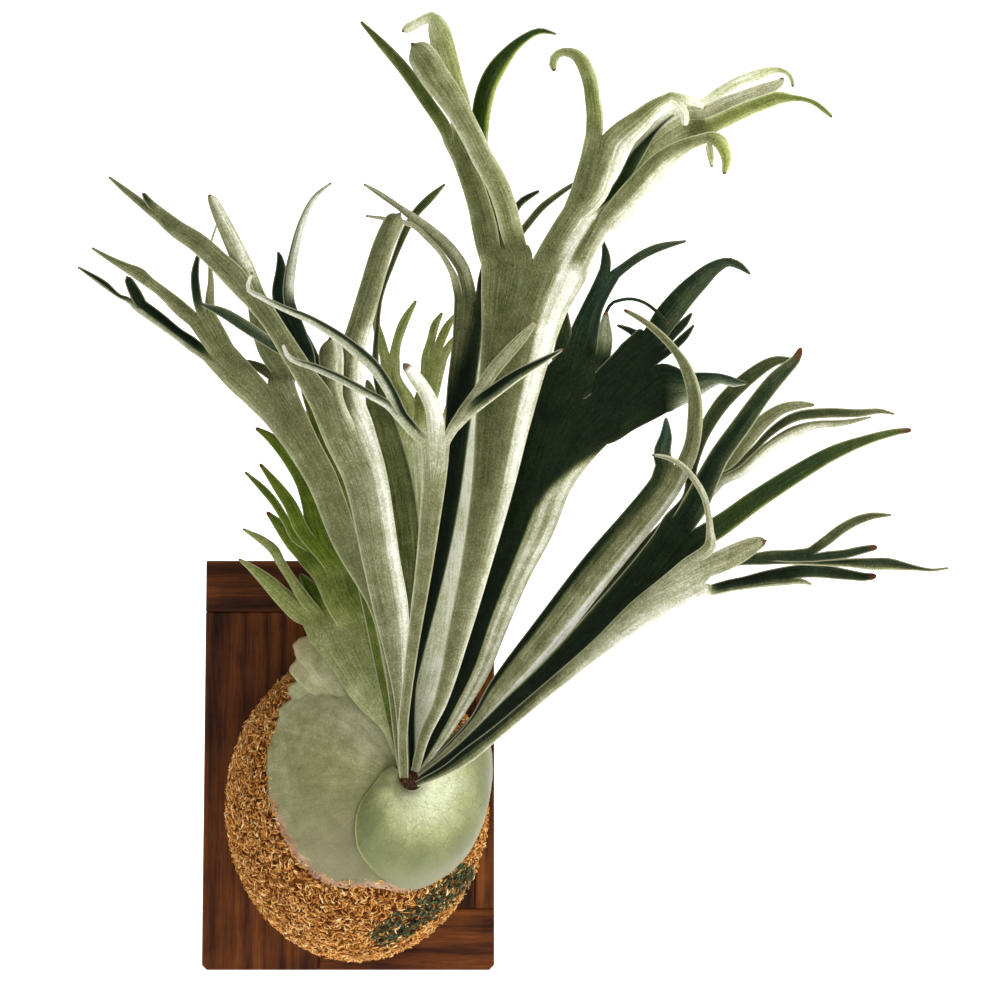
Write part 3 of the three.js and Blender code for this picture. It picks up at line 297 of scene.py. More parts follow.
TALL = strap(
    [[415, 771, 181, 7], [425, 735, 194, 10], [441, 700, 210, 13], [460, 630, 230, 22], [477, 560, 244, 30],
     [492, 490, 254, 41], [503, 420, 260, 55], [516, 350, 264, 70], [525, 300, 266, 90],
     [533, 268, 267, 109]],
    strap(
        [[503, 252, 268, 50]],
        strap(
            [[485, 230, 262, 25], [479, 205, 256, 23], [471, 180, 253, 22], [464, 160, 251, 22],
             [457, 145, 250, 23]],
            strap([[446, 130, 250, 13], [428, 103, 244, 13], [404, 69, 236, 12], [382, 44, 228, 9],
                   [361, 22, 220, 3]],
                  felt=(0.5, 0.3, 0.26, 0.36), hue=0.35),
            strap([[461, 112, 254, 21], [451, 78, 257, 23], [443, 47, 258, 24], [438, 28, 256, 21],
                   [432, 18, 252, 13], [421, 21, 249, 9], [410, 27, 246, 10], [403, 31, 243, 7]],
                  felt=(0.7, 0.58, 0.52, 0.64), end=(0.88, 0.82, 0.78, 0.88), hue=0.45),
            felt=(0.62, 0.42, 0.36, 0.4, 0.5), hue=0.1,
        ),
        strap([[499, 230, 248, 8], [488, 200, 243, 10], [481, 165, 240, 14], [480, 135, 238, 17],
               [482, 108, 237, 19], [488, 85, 235, 19], [497, 68, 232, 18], [512, 49, 228, 12],
               [528, 36, 224, 8], [541, 31, 220, 6], [556, 34, 216, 2]],
              felt=(0.1, 0.04, 0.08, 0.75), hue=0.85),
        strap([[512, 232, 282, 22], [505, 205, 292, 22], [496, 182, 296, 22], [482, 157, 299, 22],
               [474, 140, 300, 22], [459, 112, 300, 24], [447, 93, 298, 27], [437, 80, 297, 29],
               [427, 64, 294, 30], [419, 52, 290, 26], [413, 45, 288, 14]],
              felt=(0.8, 0.56, 0.5, 0.54, 0.7), end=(0.7, 0.54, 0.5, 0.7), hue=0.15),
        felt=(0.55, 0.44, 0.4, 0.42, 0.48), hue=0.05,
    ),
    strap(
        [[574, 241, 271, 54], [586, 221, 272, 53]],
        strap(
            [[588, 193, 276, 36], [598, 168, 279, 40], [605, 145, 281, 44]],
            strap([[595, 118, 283, 17], [593, 100, 284, 16], [591, 84, 283, 16], [586, 68, 281, 16],
                   [577, 56, 276, 12], [567, 52, 271, 9], [558, 54, 267, 8], [553, 61, 264, 9],
                   [554, 71, 263, 5]],
                  felt=(0.56, 0.5, 0.48, 0.52, 0.97), end=(0.9, 0.62, 0.55, 0.8), hue=0.4),
            strap(
                [[622, 136, 283, 28], [640, 121, 284, 23], [654, 108, 284, 17], [668, 99, 281, 12]],
                strap([[684, 99, 276, 9], [697, 103, 270, 7], [705, 108, 266, 3]], felt=(0.95, 0.9)),
                strap([[681, 108, 274, 10], [685, 118, 270, 9], [684, 127, 267, 4]], felt=(0.95, 0.9)),
                felt=(0.52, 0.48, 0.52, 0.76, 0.95), hue=0.15,
            ),
            felt=(0.5, 0.42, 0.42, 0.5, 0.8, 0.92), hue=0.08,
        ),
        strap([[608, 197, 262, 8], [619, 184, 259, 9], [628, 171, 256, 12], [635, 158, 253, 13],
               [643, 147, 250, 10], [654, 133, 247, 5], [667, 120, 244, 3], [680, 111, 240, 2]],
              felt=(0.05, 0.0, 0.0, 0.3), hue=0.6),
        strap(
            [[613, 202, 250, 12], [630, 173, 245, 17], [643, 151, 242, 22], [657, 138, 241, 28],
             [673, 127, 240, 33], [689, 119, 239, 38]],
            strap([[704, 102, 232, 9], [720, 92, 231, 10], [740, 81, 229, 10], [760, 74, 226, 10],
                   [773, 70, 223, 7], [784, 71, 221, 4], [791, 77, 218, 4], [793, 87, 216, 3]],
                  felt=(0.85, 0.82, 0.9), end=(0.7, 0.55, 0.8), hue=0.35),
            strap([[706, 114, 240, 16], [722, 105, 239, 14], [742, 97, 237, 12], [762, 90, 234, 12],
                   [778, 84, 231, 9], [783, 78, 230, 4]],
                  felt=(0.72, 0.66, 0.66), hue=0.0),
            strap([[705, 128, 247, 17], [721, 121, 246, 16], [741, 112, 246, 16], [761, 104, 245, 15],
                   [778, 98, 243, 14], [790, 98, 241, 8], [803, 99, 239, 5], [815, 103, 238, 5],
                   [824, 110, 236, 5], [832, 117, 234, 3]],
                  felt=(0.85, 0.4, 0.36, 0.5, 0.97), hue=0.5),
            felt=(0.9, 0.76, 0.58, 0.52, 0.55), hue=0.1,
        ),
        strap(
            [[622, 207, 271, 26], [640, 186, 270, 26], [659, 165, 268, 23], [677, 151, 264, 18],
             [692, 143, 260, 13], [705, 139, 256, 12]],
            strap([[718, 140, 252, 14], [725, 150, 247, 13], [727, 162, 243, 10], [724, 174, 240, 5]],
                  felt=(0.95, 0.65, 0.5, 0.7), hue=0.8),
            strap([[709, 148, 252, 7], [711, 158, 248, 6], [712, 167, 246, 3]], felt=(0.85, 0.65), hue=0.75),
            felt=(0.5, 0.44, 0.46, 0.78, 0.92, 0.95), end=(0.5, 0.42, 0.46, 0.6, 0.9), hue=0.1,
        ),
        felt=(0.46, 0.4, 0.42, 0.56, 0.86, 0.9, 0.4, 0.5, 0.7, 0.95), hue=0.05,
    ),
    felt=(0.7, 0.55, 0.5, 0.49, 0.5, 0.53, 0.58, 0.64, 0.8, 0.95),
    end=(0.5, 0.4, 0.36, 0.37, 0.38, 0.4, 0.48, 0.88, 0.98, 0.8), turn=(0.5, 0.6, 0.35), hue=0.05,
    rib=(0.5, 0.2),
)

DARK = strap(
    [[418, 771, 170, 6], [440, 735, 184, 16], [456, 705, 192, 23], [474, 668, 200, 31], [492, 616, 208, 38],
     [510, 570, 214, 42], [528, 525, 219, 53], [545, 473, 223, 62], [570, 423, 227, 86],
     [586, 402, 229, 106]],
    strap(
        [[577, 372, 232, 56], [581, 357, 233, 57]],
        strap([[565, 334, 232, 13], [567, 312, 232, 2]], felt=(0.2, 0.14, 0.2), tip=4),
        strap(
            [[584, 334, 230, 28], [592, 309, 229, 21], [601, 290, 227, 20], [608, 276, 226, 22]],
            strap([[606, 258, 223, 9], [603, 240, 220, 2]]),
            strap([[625, 267, 222, 9], [642, 255, 220, 9], [660, 247, 217, 8], [686, 241, 212, 2]],
                  felt=(0.24, 0.22, 0.14), hue=-0.3),
            felt=(0.14, 0.18, 0.12), hue=-0.6,
        ),
        strap([[600, 336, 240, 4], [604, 318, 246, 3], [611, 304, 250, 3], [621, 300, 251, 3],
               [632, 299, 252, 3], [645, 303, 253, 3], [657, 312, 254, 3], [668, 324, 254, 2]],
              felt=(0.3, 0.1, 0.3), hue=0.0, rim=0.0),
        strap([[605, 340, 246, 15], [605, 326, 249, 11], [606, 312, 250, 4]],
              felt=(0.5, 0.58, 0.46), hue=-0.3, tip=4),
        felt=(0.14, 0.12, 0.1),
    ),
    strap(
        [[648, 376, 239, 84]],
        strap(
            [[650, 345, 242, 40]],
            strap([[640, 336, 238, 8], [629, 330, 238, 6], [617, 325, 238, 2]], felt=(0.1, 0.12), tip=4),
            strap([[666, 318, 246, 25], [684, 296, 246, 23], [701, 279, 244, 19], [714, 268, 240, 14],
                   [728, 262, 235, 9], [740, 266, 230, 7], [750, 274, 226, 2]],
                  felt=(0.14, 0.12, 0.18, 0.24, 0.2), hue=-0.25),
            strap([[674, 333, 238, 9], [684, 323, 236, 8], [692, 313, 234, 2]]),
            strap([[678, 343, 250, 8], [686, 335, 250, 7], [694, 325, 250, 2]]),
            felt=(0.1, 0.07, 0.06, 0.06),
        ),
        strap([[668, 388, 246, 49], [687, 387, 250, 31], [701, 383, 254, 22], [712, 380, 256, 15],
               [722, 379, 257, 10], [732, 382, 258, 10], [741, 383, 258, 5], [747, 383, 257, 3]],
              felt=(0.12, 0.2, 0.34, 0.5, 0.9), hue=-0.5),
        felt=(0.06, 0.05, 0.06, 0.08),
    ),
    felt=(0.0, 0.0, 0.02, 0.02, 0.03, 0.6, 0.78, 0.66, 0.86, 0.74),
    end=(0.05, 0.06, 0.07, 0.07, 0.07, 0.06, 0.05, 0.06, 0.08, 0.2), turn=(0.5, 0.9, 0.07), hue=0.0,
    rim=0.2,
)

RIGHT_STRAP = strap(
    [[419, 775, 182, 5], [448, 750, 196, 9], [475, 722, 210, 12], [501, 688, 222, 24], [547, 633, 238, 33],
     [598, 568, 251, 35], [639, 519, 259, 33], [664, 487, 263, 32], [671, 472, 265, 35]],
    strap([[662, 453, 262, 17], [666, 436, 261, 12], [666, 418, 260, 3]], felt=(0.2, 0.3, 0.2), hue=-0.9),
    strap([[688, 457, 272, 16], [693, 440, 276, 15], [695, 419, 283, 15], [695, 402, 287, 14],
           [692, 385, 291, 13], [686, 368, 295, 11], [677, 353, 298, 8], [665, 339, 300, 7],
           [648, 324, 302, 6], [634, 315, 302, 5], [624, 310, 302, 3]],
          felt=(0.44, 0.42, 0.42, 0.6), hue=0.02, tip=4),
    felt=(0.0, 0.03, 0.5, 0.52, 0.5, 0.62, 0.98, 0.92), end=(0.14, 0.16, 0.2, 0.42, 0.46, 0.5, 0.8, 0.8),
    rib=(0.3, 0.2),
)

RIGHT = strap(
    [[420, 778, 186, 5], [452, 756, 202, 9], [478, 733, 216, 11], [506, 708, 228, 15], [548, 672, 244, 21],
     [600, 620, 260, 28], [640, 580, 270, 35], [670, 548, 276, 43], [682, 533, 278, 49]],
    strap([[687, 498, 264, 10], [693, 465, 258, 10], [703, 434, 252, 13], [720, 406, 247, 15],
           [740, 385, 242, 15], [760, 369, 240, 13], [775, 361, 238, 10], [791, 359, 236, 4]],
          felt=(0.34, 0.22, 0.2, 0.26), hue=0.1),
    strap([[695, 505, 280, 26], [706, 482, 282, 23], [720, 455, 284, 20], [745, 420, 286, 19],
           [759, 400, 286, 17], [775, 380, 285, 16], [786, 369, 284, 13], [796, 359, 282, 9],
           [801, 348, 280, 4]],
          felt=(0.5, 0.12, 0.08, 0.12, 0.2, 0.5), end=(0.45, 0.34, 0.26, 0.2, 0.3), hue=-0.15, tip=13),
    strap([[712, 531, 274, 22], [730, 519, 272, 21], [753, 502, 270, 20], [791, 477, 264, 18],
           [831, 454, 256, 15], [866, 440, 250, 10], [895, 432, 244, 7], [911, 430, 240, 4]],
          felt=(0.3, 0.16, 0.12, 0.14, 0.2, 0.6), end=(0.4, 0.3, 0.24, 0.24, 0.7), hue=0.35, tip=10),
    felt=(0.5, 0.04, 0.03, 0.04, 0.05, 0.06), end=(0.12, 0.06, 0.04, 0.05, 0.06, 0.08), hue=0.0,
)

RIGHT_BACK = strap(
    [[418, 774, 162, 6], [450, 744, 176, 8], [480, 714, 187, 9], [548, 650, 206, 14], [600, 597, 218, 18],
     [650, 548, 230, 21], [692, 504, 240, 22], [712, 479, 245, 26]],
    strap([[728, 463, 250, 12], [745, 443, 253, 14], [763, 422, 254, 14], [782, 409, 252, 11],
           [800, 405, 249, 8], [814, 405, 246, 3]],
          felt=(0.5, 0.44, 0.5)),
    strap([[735, 466, 242, 7], [752, 451, 238, 6], [772, 431, 234, 8], [795, 417, 230, 10],
           [825, 413, 226, 10], [858, 413, 222, 8], [880, 411, 219, 5], [894, 414, 216, 2]],
          felt=(0.5, 0.16, 0.25, 0.66), end=(0.45, 0.36, 0.4, 0.5)),
    strap([[742, 471, 248, 10], [768, 448, 244, 11], [792, 433, 240, 12], [815, 425, 237, 8],
           [842, 423, 235, 6], [871, 417, 232, 2]],
          felt=(0.08, 0.6, 0.98, 1.0), end=(0.4, 0.5, 0.6)),
    felt=(0.04, 0.08, 0.4), end=(0.2, 0.5, 0.8), hue=0.0,
)

LOW_RIGHT = strap(
    [[417, 784, 190, 5], [446, 770, 202, 9], [468, 755, 214, 14], [498, 731, 230, 12], [547, 690, 254, 13],
     [599, 647, 274, 17], [640, 613, 287, 27], [671, 592, 295, 34], [693, 577, 299, 40]],
    strap([[709, 548, 304, 12], [710, 530, 307, 7], [708, 512, 309, 6], [704, 496, 310, 6],
           [694, 479, 310, 6], [680, 464, 308, 5], [665, 457, 306, 4], [652, 455, 304, 2]],
          felt=(0.55, 0.75), tip=3),
    strap([[724, 560, 303, 22], [742, 551, 303, 20], [755, 544, 301, 15], [765, 541, 299, 9]],
          felt=(0.64, 0.6, 0.58), tip=4),
    strap(
        [[716, 567, 298, 7], [740, 561, 294, 9], [765, 558, 290, 14]],
        strap(
            [[790, 556, 288, 12], [806, 555, 287, 14]],
            strap([[823, 543, 286, 10], [840, 530, 283, 10], [856, 521, 280, 9], [872, 516, 277, 7],
                   [891, 515, 275, 2]],
                  felt=(0.4, 0.28, 0.42)),
            strap([[826, 556, 286, 9], [845, 554, 284, 9], [862, 550, 283, 8], [877, 547, 282, 5]],
                  felt=(0.26, 0.14, 0.14, 0.22), tip=7),
            felt=(0.2, 0.12, 0.18),
        ),
        strap([[795, 562, 280, 5], [830, 563, 275, 6], [852, 563, 271, 9], [870, 564, 268, 12],
               [888, 564, 264, 12], [902, 566, 261, 9], [916, 568, 258, 5], [932, 570, 255, 3],
               [948, 568, 252, 2]],
              felt=(0.22, 0.14, 0.3, 0.8)),
        felt=(0.3, 0.16, 0.18),
    ),
    strap(
        [[712, 590, 284, 11], [728, 586, 280, 12], [745, 583, 276, 13], [765, 579, 272, 16],
         [785, 576, 268, 19]],
        strap([[803, 571, 264, 13], [820, 571, 262, 13], [836, 573, 260, 12], [850, 575, 258, 10],
               [865, 577, 256, 8], [876, 576, 254, 5]],
              felt=(0.2, 0.12, 0.14, 0.3), tip=7),
        strap([[800, 581, 264, 6], [811, 584, 262, 2]], felt=(0.6, 0.6)),
        felt=(0.1, 0.04, 0.06, 0.3, 0.8),
    ),
    felt=(0.1, 0.06, 0.3, 0.5, 0.8), end=(0.54, 0.66, 0.67, 0.7, 0.8, 0.95), turn=(0.5, 0.5, 0.6),
    rib=(0.1, 0.1),
)

UPPER_LEFT_SHIELD = strap(
    [[399, 754, 155, 10], [394, 724, 152, 26], [379, 690, 138, 54], [363, 655, 124, 68], [353, 627, 118, 90]],
    strap(
        [[319, 619, 114, 34]],
        strap([[299, 612, 110, 20], [284, 598, 106, 18], [268, 582, 102, 14], [253, 569, 98, 8],
               [239, 559, 94, 2]]),
        strap([[306, 601, 112, 12], [292, 580, 108, 9], [281, 563, 104, 9], [274, 550, 100, 10],
               [262, 540, 96, 8], [252, 534, 92, 5], [243, 529, 88, 2]]),
        strap([[318, 600, 106, 16], [310, 587, 102, 13], [300, 574, 98, 3]], felt=(0.25, 0.2, 0.25), hue=1.0),
        felt=(0.55, 0.52, 0.48), hue=0.5,
    ),
    strap(
        [[344, 600, 118, 38], [336, 575, 116, 44]],
        strap(
            [[309, 556, 110, 24]],
            strap([[293, 543, 106, 15], [281, 527, 102, 12], [267, 512, 98, 3]]),
            strap([[296, 538, 112, 10], [286, 521, 112, 8], [275, 503, 110, 8], [262, 488, 108, 7],
                   [245, 472, 104, 2]]),
            felt=(0.34, 0.3, 0.4), hue=0.9, tip=5,
        ),
        strap([[302, 530, 118, 14], [291, 506, 118, 13], [278, 487, 116, 10], [260, 464, 112, 3]],
              felt=(0.34, 0.3, 0.34), hue=1.0, tip=5),
        strap([[326, 540, 114, 34], [314, 505, 110, 24], [304, 482, 106, 17], [289, 459, 102, 13],
               [272, 439, 98, 10], [256, 428, 94, 3]],
              felt=(0.34, 0.28, 0.24), hue=1.0, tip=4),
        felt=(0.46, 0.42, 0.38, 0.34), hue=0.6,
    ),
    strap([[374, 595, 112, 24], [362, 545, 110, 26], [349, 505, 108, 25], [337, 472, 106, 22],
           [322, 444, 102, 15], [308, 420, 98, 9], [295, 402, 94, 2]],
          felt=(0.3, 0.26, 0.22), hue=1.0),
    felt=(0.68, 0.66, 0.63, 0.56, 0.48), end=(0.58, 0.56, 0.54, 0.46, 0.4), hue=0.4, rim=0.3,
)

UPPER_BACK_SHIELD = strap(
    [[411, 772, 157, 6], [413, 748, 150, 14], [415, 717, 141, 32], [426, 680, 116, 50], [434, 640, 107, 58],
     [438, 590, 104, 62], [438, 540, 98, 76], [434, 480, 94, 92], [430, 440, 92, 96]],
    strap(
        [[404, 410, 92, 28], [392, 380, 94, 19], [390, 360, 94, 20]],
        strap([[380, 338, 94, 9], [376, 322, 94, 7], [381, 305, 94, 2]]),
        strap([[397, 342, 94, 9], [404, 322, 94, 9], [416, 301, 94, 3]]),
        felt=(0.5, 0.5, 0.6),
    ),
    strap(
        [[424, 410, 92, 24], [430, 385, 92, 22], [434, 360, 92, 26]],
        strap([[431, 340, 92, 8], [435, 325, 92, 8], [442, 313, 92, 3]]),
        strap([[441, 340, 94, 9], [447, 327, 94, 8], [456, 314, 94, 3]]),
        strap([[448, 348, 90, 8], [457, 335, 90, 3]]),
        felt=(0.5, 0.5, 0.6),
    ),
    strap([[462, 410, 90, 34], [474, 380, 90, 26], [484, 350, 90, 16], [490, 325, 90, 3]]),
    felt=(0.6, 0.75, 0.88, 0.95, 1.0), hue=0.5, rim=0.2,
)

FRONDS = {
    "frond_outer_left": OUTER_LEFT,
    "frond_left": LEFT,
    "frond_left_back": LEFT_BACK,
    "frond_centre_back": CENTRE_BACK,
    "frond_front": FRONT,
    "frond_olive_back": OLIVE_BACK,
    "frond_tall": TALL,
    "frond_dark": DARK,
    "frond_right_strap": RIGHT_STRAP,
    "frond_right": RIGHT,
    "frond_right_back": RIGHT_BACK,
    "frond_low_right": LOW_RIGHT,
    "shield_upper_left": UPPER_LEFT_SHIELD,
    "shield_upper_back": UPPER_BACK_SHIELD,
}

# Planks: whether the grain is upright, the shift of its pattern in metres and how much lighter it is
PLANKS = {
    "top_rail": (False, (3.1, 0, 1.7), 0.0),
    "left_stile": (True, (0, 2.3, 0.9), 0.06),
    "centre_panel": (True, (5.2, 0.4, 2.8), 0.0),
    "right_stile": (True, (8.7, 1.1, 4.3), 0.02),
    "bottom_rail": (False, (6.6, 0.7, 0.2), 0.04),
}
GRAIN_ALONG = 4.5
GRAIN_ACROSS = 95

# Painted shade in the seam under the top rail, a dark sheet in the gap: from and to, in millimetres, along X,
# Y and Z
SEAM_SHADE = ((-149, 149), (-31, -29), (156.62, 156.98))
SEAM_SHADE_WOOD = (False, (1.9, 0.2, 4.4), -0.35)

# The two round shields. The margin is traced as [column, row] from beside the crown round to its other
# side. Clock angles in degrees, a radius and an out place the edge by the crown. The blade is lifted off
# the ball and bulges by that many mm, a margin that leaves the ball stays at least the flare out, and the
# teeth are how ragged the margin is, in columns.
LEFT_SHIELD = {
    "angles": (115, 265), "radius": 13, "out": 153, "lift": 0, "bulge": 0, "flare": 108, "teeth": 1.8,
    "margin": [
        [396, 735], [384, 708], [366, 680], [346, 658], [326, 642], [304, 638], [294, 645], [297, 658],
        [290, 672], [297, 681], [288, 690], [292, 697], [281, 709], [277, 731], [269, 748], [269, 773],
        [271, 797], [277, 818], [288, 842], [300, 862], [318, 878], [340, 886], [364, 884], [384, 886],
        [404, 892], [420, 888],
    ],
}
LOW_SHIELD = {
    "angles": (168, 375), "radius": 11, "out": 162, "lift": 4, "bulge": 14, "flare": 62, "teeth": 0.5,
    "margin": [
        [391, 767], [381, 775], [372, 787], [361, 803], [356, 823], [358, 846], [371, 866], [391, 881],
        [413, 887], [441, 875], [464, 854], [478, 826], [486, 798], [489, 764], [486, 742], [474, 722],
    ],
}

# Shields in millimetres: distance off the ball, thickness, waves, and the run over which a bulge grows.
# The margin's distances from the wall are evened a number of times. Coarse and fine teeth are counted
# round the margin.
SHIELD_SEAT = 1.3
SHIELD_THICKNESS = 1.5
SHIELD_WAVE = 0.5
SHIELD_WAVE_LENGTH = 16
SHIELD_SWELL_RUN = 70
EVENING = 400
TEETH = (75, 190)

# Marks on the shields, as traced points: an old scar on the left one, and the middle of a painted highlight
# on the low one
SCAR = (345, 763, 150)
HIGHLIGHT_SPOT = (446, 782, 180)

# Screen colours of a blade from bare to thickly felted, whose palest end also renders painted highlight:
# plain, blue-green, which also paints a teal sheen on dark blades, and yellow-green, which partly paints
# light shining through thin lobes
PLAIN_FELT_AND_LIGHT = ((0, (2, 13, 0)), (0.15, (26, 40, 18)), (0.3, (62, 67, 38)), (0.5, (110, 111, 75)),
              (0.7, (157, 157, 124)), (0.85, (196, 196, 172)), (1, (232, 233, 222)))
COOL_FELT_AND_LIGHT = ((0, (0, 12, 4)), (0.15, (18, 40, 28)), (0.3, (48, 70, 56)), (0.5, (96, 114, 96)),
             (0.7, (148, 160, 142)), (0.85, (190, 198, 182)), (1, (230, 233, 224)))
WARM_FELT_AND_LIGHT = ((0, (18, 36, 3)), (0.2, (52, 72, 10)), (0.4, (102, 116, 34)), (0.6, (150, 160, 78)),
             (0.8, (194, 202, 138)), (1, (232, 235, 206)))
BROWN_TIP = ((46, 20, 10), (112, 62, 32))

# Stage in metres: the backdrop, and the place, aim and side of each square light. The sensor's width is
# in millimetres.
BACKDROP_WIDTH = 22
BACKDROP_HEIGHT = 10
BACKDROP_BEND = 0.6
FLOOR_HEIGHT = -0.75
WALL_BEHIND = 2.6
KEY_LIGHT = ((1.7, -1.15, 1.35), (0.05, -0.15, 0.05), 0.9)
FILL_LIGHT = ((-1.7, -2.1, 0.9), (0.05, -0.2, 0.05), 1.6)
SENSOR_WIDTH = 36
CAMERA_RANGE = (0.05, 50)


# ---- sight lines and curves ---------------------------------------------------------------------------

def sight_line(column, row):
    across = (column - VIEW_MIDDLE) / VIEW_FOCAL
    up = (VIEW_MIDDLE - row) / VIEW_FOCAL
    cos, sin = math.cos(EYE_PITCH), math.sin(EYE_PITCH)
    return np.array([across, cos - up * sin, sin + up * cos])


def seen(column, row, out):
    """The point that is seen at a column and row, at a distance in front of the wall."""
    line = sight_line(column, row)
    return EYE + line * ((-out - EYE[1]) / line[1])


def column_size(out):
    """Millimetres that one column covers at a distance in front of the wall."""
    return (-out - EYE[1]) / math.cos(EYE_PITCH) / VIEW_FOCAL


def viewed(points):
    """Columns and rows at which points are seen."""
    ahead = np.array([0, math.cos(EYE_PITCH), math.sin(EYE_PITCH)])
    above = np.array([0, -math.sin(EYE_PITCH), math.cos(EYE_PITCH)])
    arrow = points - EYE
    depth = arrow @ ahead
    return np.stack([VIEW_MIDDLE + VIEW_FOCAL * arrow[:, 0] / depth,
                     VIEW_MIDDLE - VIEW_FOCAL * (arrow @ above) / depth], axis=1)


def unit(vectors):
    """Vectors, or one vector, at length 1."""
    return vectors / np.linalg.norm(vectors, axis=-1, keepdims=True)


def smooth(low, high, value):
    """A smooth step from 0 at low to 1 at high."""
    t = np.clip((value - low) / (high - low), 0, 1)
    return t * t * (3 - 2 * t)


def hermite(t):
    """Weights of a start, its slope, an end and its slope at a share of the way between them."""
    return 2 * t**3 - 3 * t**2 + 1, t**3 - 2 * t**2 + t, 3 * t**2 - 2 * t**3, t**3 - t**2


def weighted(parts, weights):
    return sum(part * weight for part, weight in zip(parts, weights))


def spaced(values, share):
    """The value at a share of the way along evenly spaced ones."""
    place = share * (len(values) - 1)
    low = min(int(place), len(values) - 1)
    high = min(low + 1, len(values) - 1)
    return values[low] + (values[high] - values[low]) * smooth(0.2, 0.8, place - low)


class Midline:
    """A smooth line through traced points, with a width at every place."""

    def __init__(self, nodes, start_direction):
        self.points = [node[0] for node in nodes]
        self.widths = [node[1] for node in nodes]
        self.chords = [np.linalg.norm(b - a) for a, b in zip(self.points, self.points[1:])]
        self.length = sum(self.chords)
        self.slopes, self.growths = [], []
        last = len(nodes) - 1
        for index in range(len(nodes)):
            before, after = max(index - 1, 0), min(index + 1, last)
            run = sum(self.chords[before:after])
            self.slopes.append((self.points[after] - self.points[before]) / run)
            self.growths.append((self.widths[after] - self.widths[before]) / run)
        if start_direction is not None:
            self.slopes[0] = start_direction

    def at(self, distance):
        """The point, direction and width at a distance along the line."""
        span = 0
        while span < len(self.chords) - 1 and distance > self.chords[span]:
            distance -= self.chords[span]
            span += 1
        chord = self.chords[span]
        t = min(distance / chord, 1)
        start, start_slope, end, end_slope = hermite(t)
        weights = (start, start_slope * chord, end, end_slope * chord)
        rates = ((6 * t**2 - 6 * t) / chord, 3 * t**2 - 4 * t + 1,
                 (6 * t - 6 * t**2) / chord, 3 * t**2 - 2 * t)
        parts = (self.points[span], self.slopes[span], self.points[span + 1], self.slopes[span + 1])
        widths = (self.widths[span], self.growths[span], self.widths[span + 1], self.growths[span + 1])
        width = max(weighted(widths, weights), LEAST_WIDTH)
        return weighted(parts, weights), unit(weighted(parts, rates)), width


# ---- blades -------------------------------------------------------------------------------------------

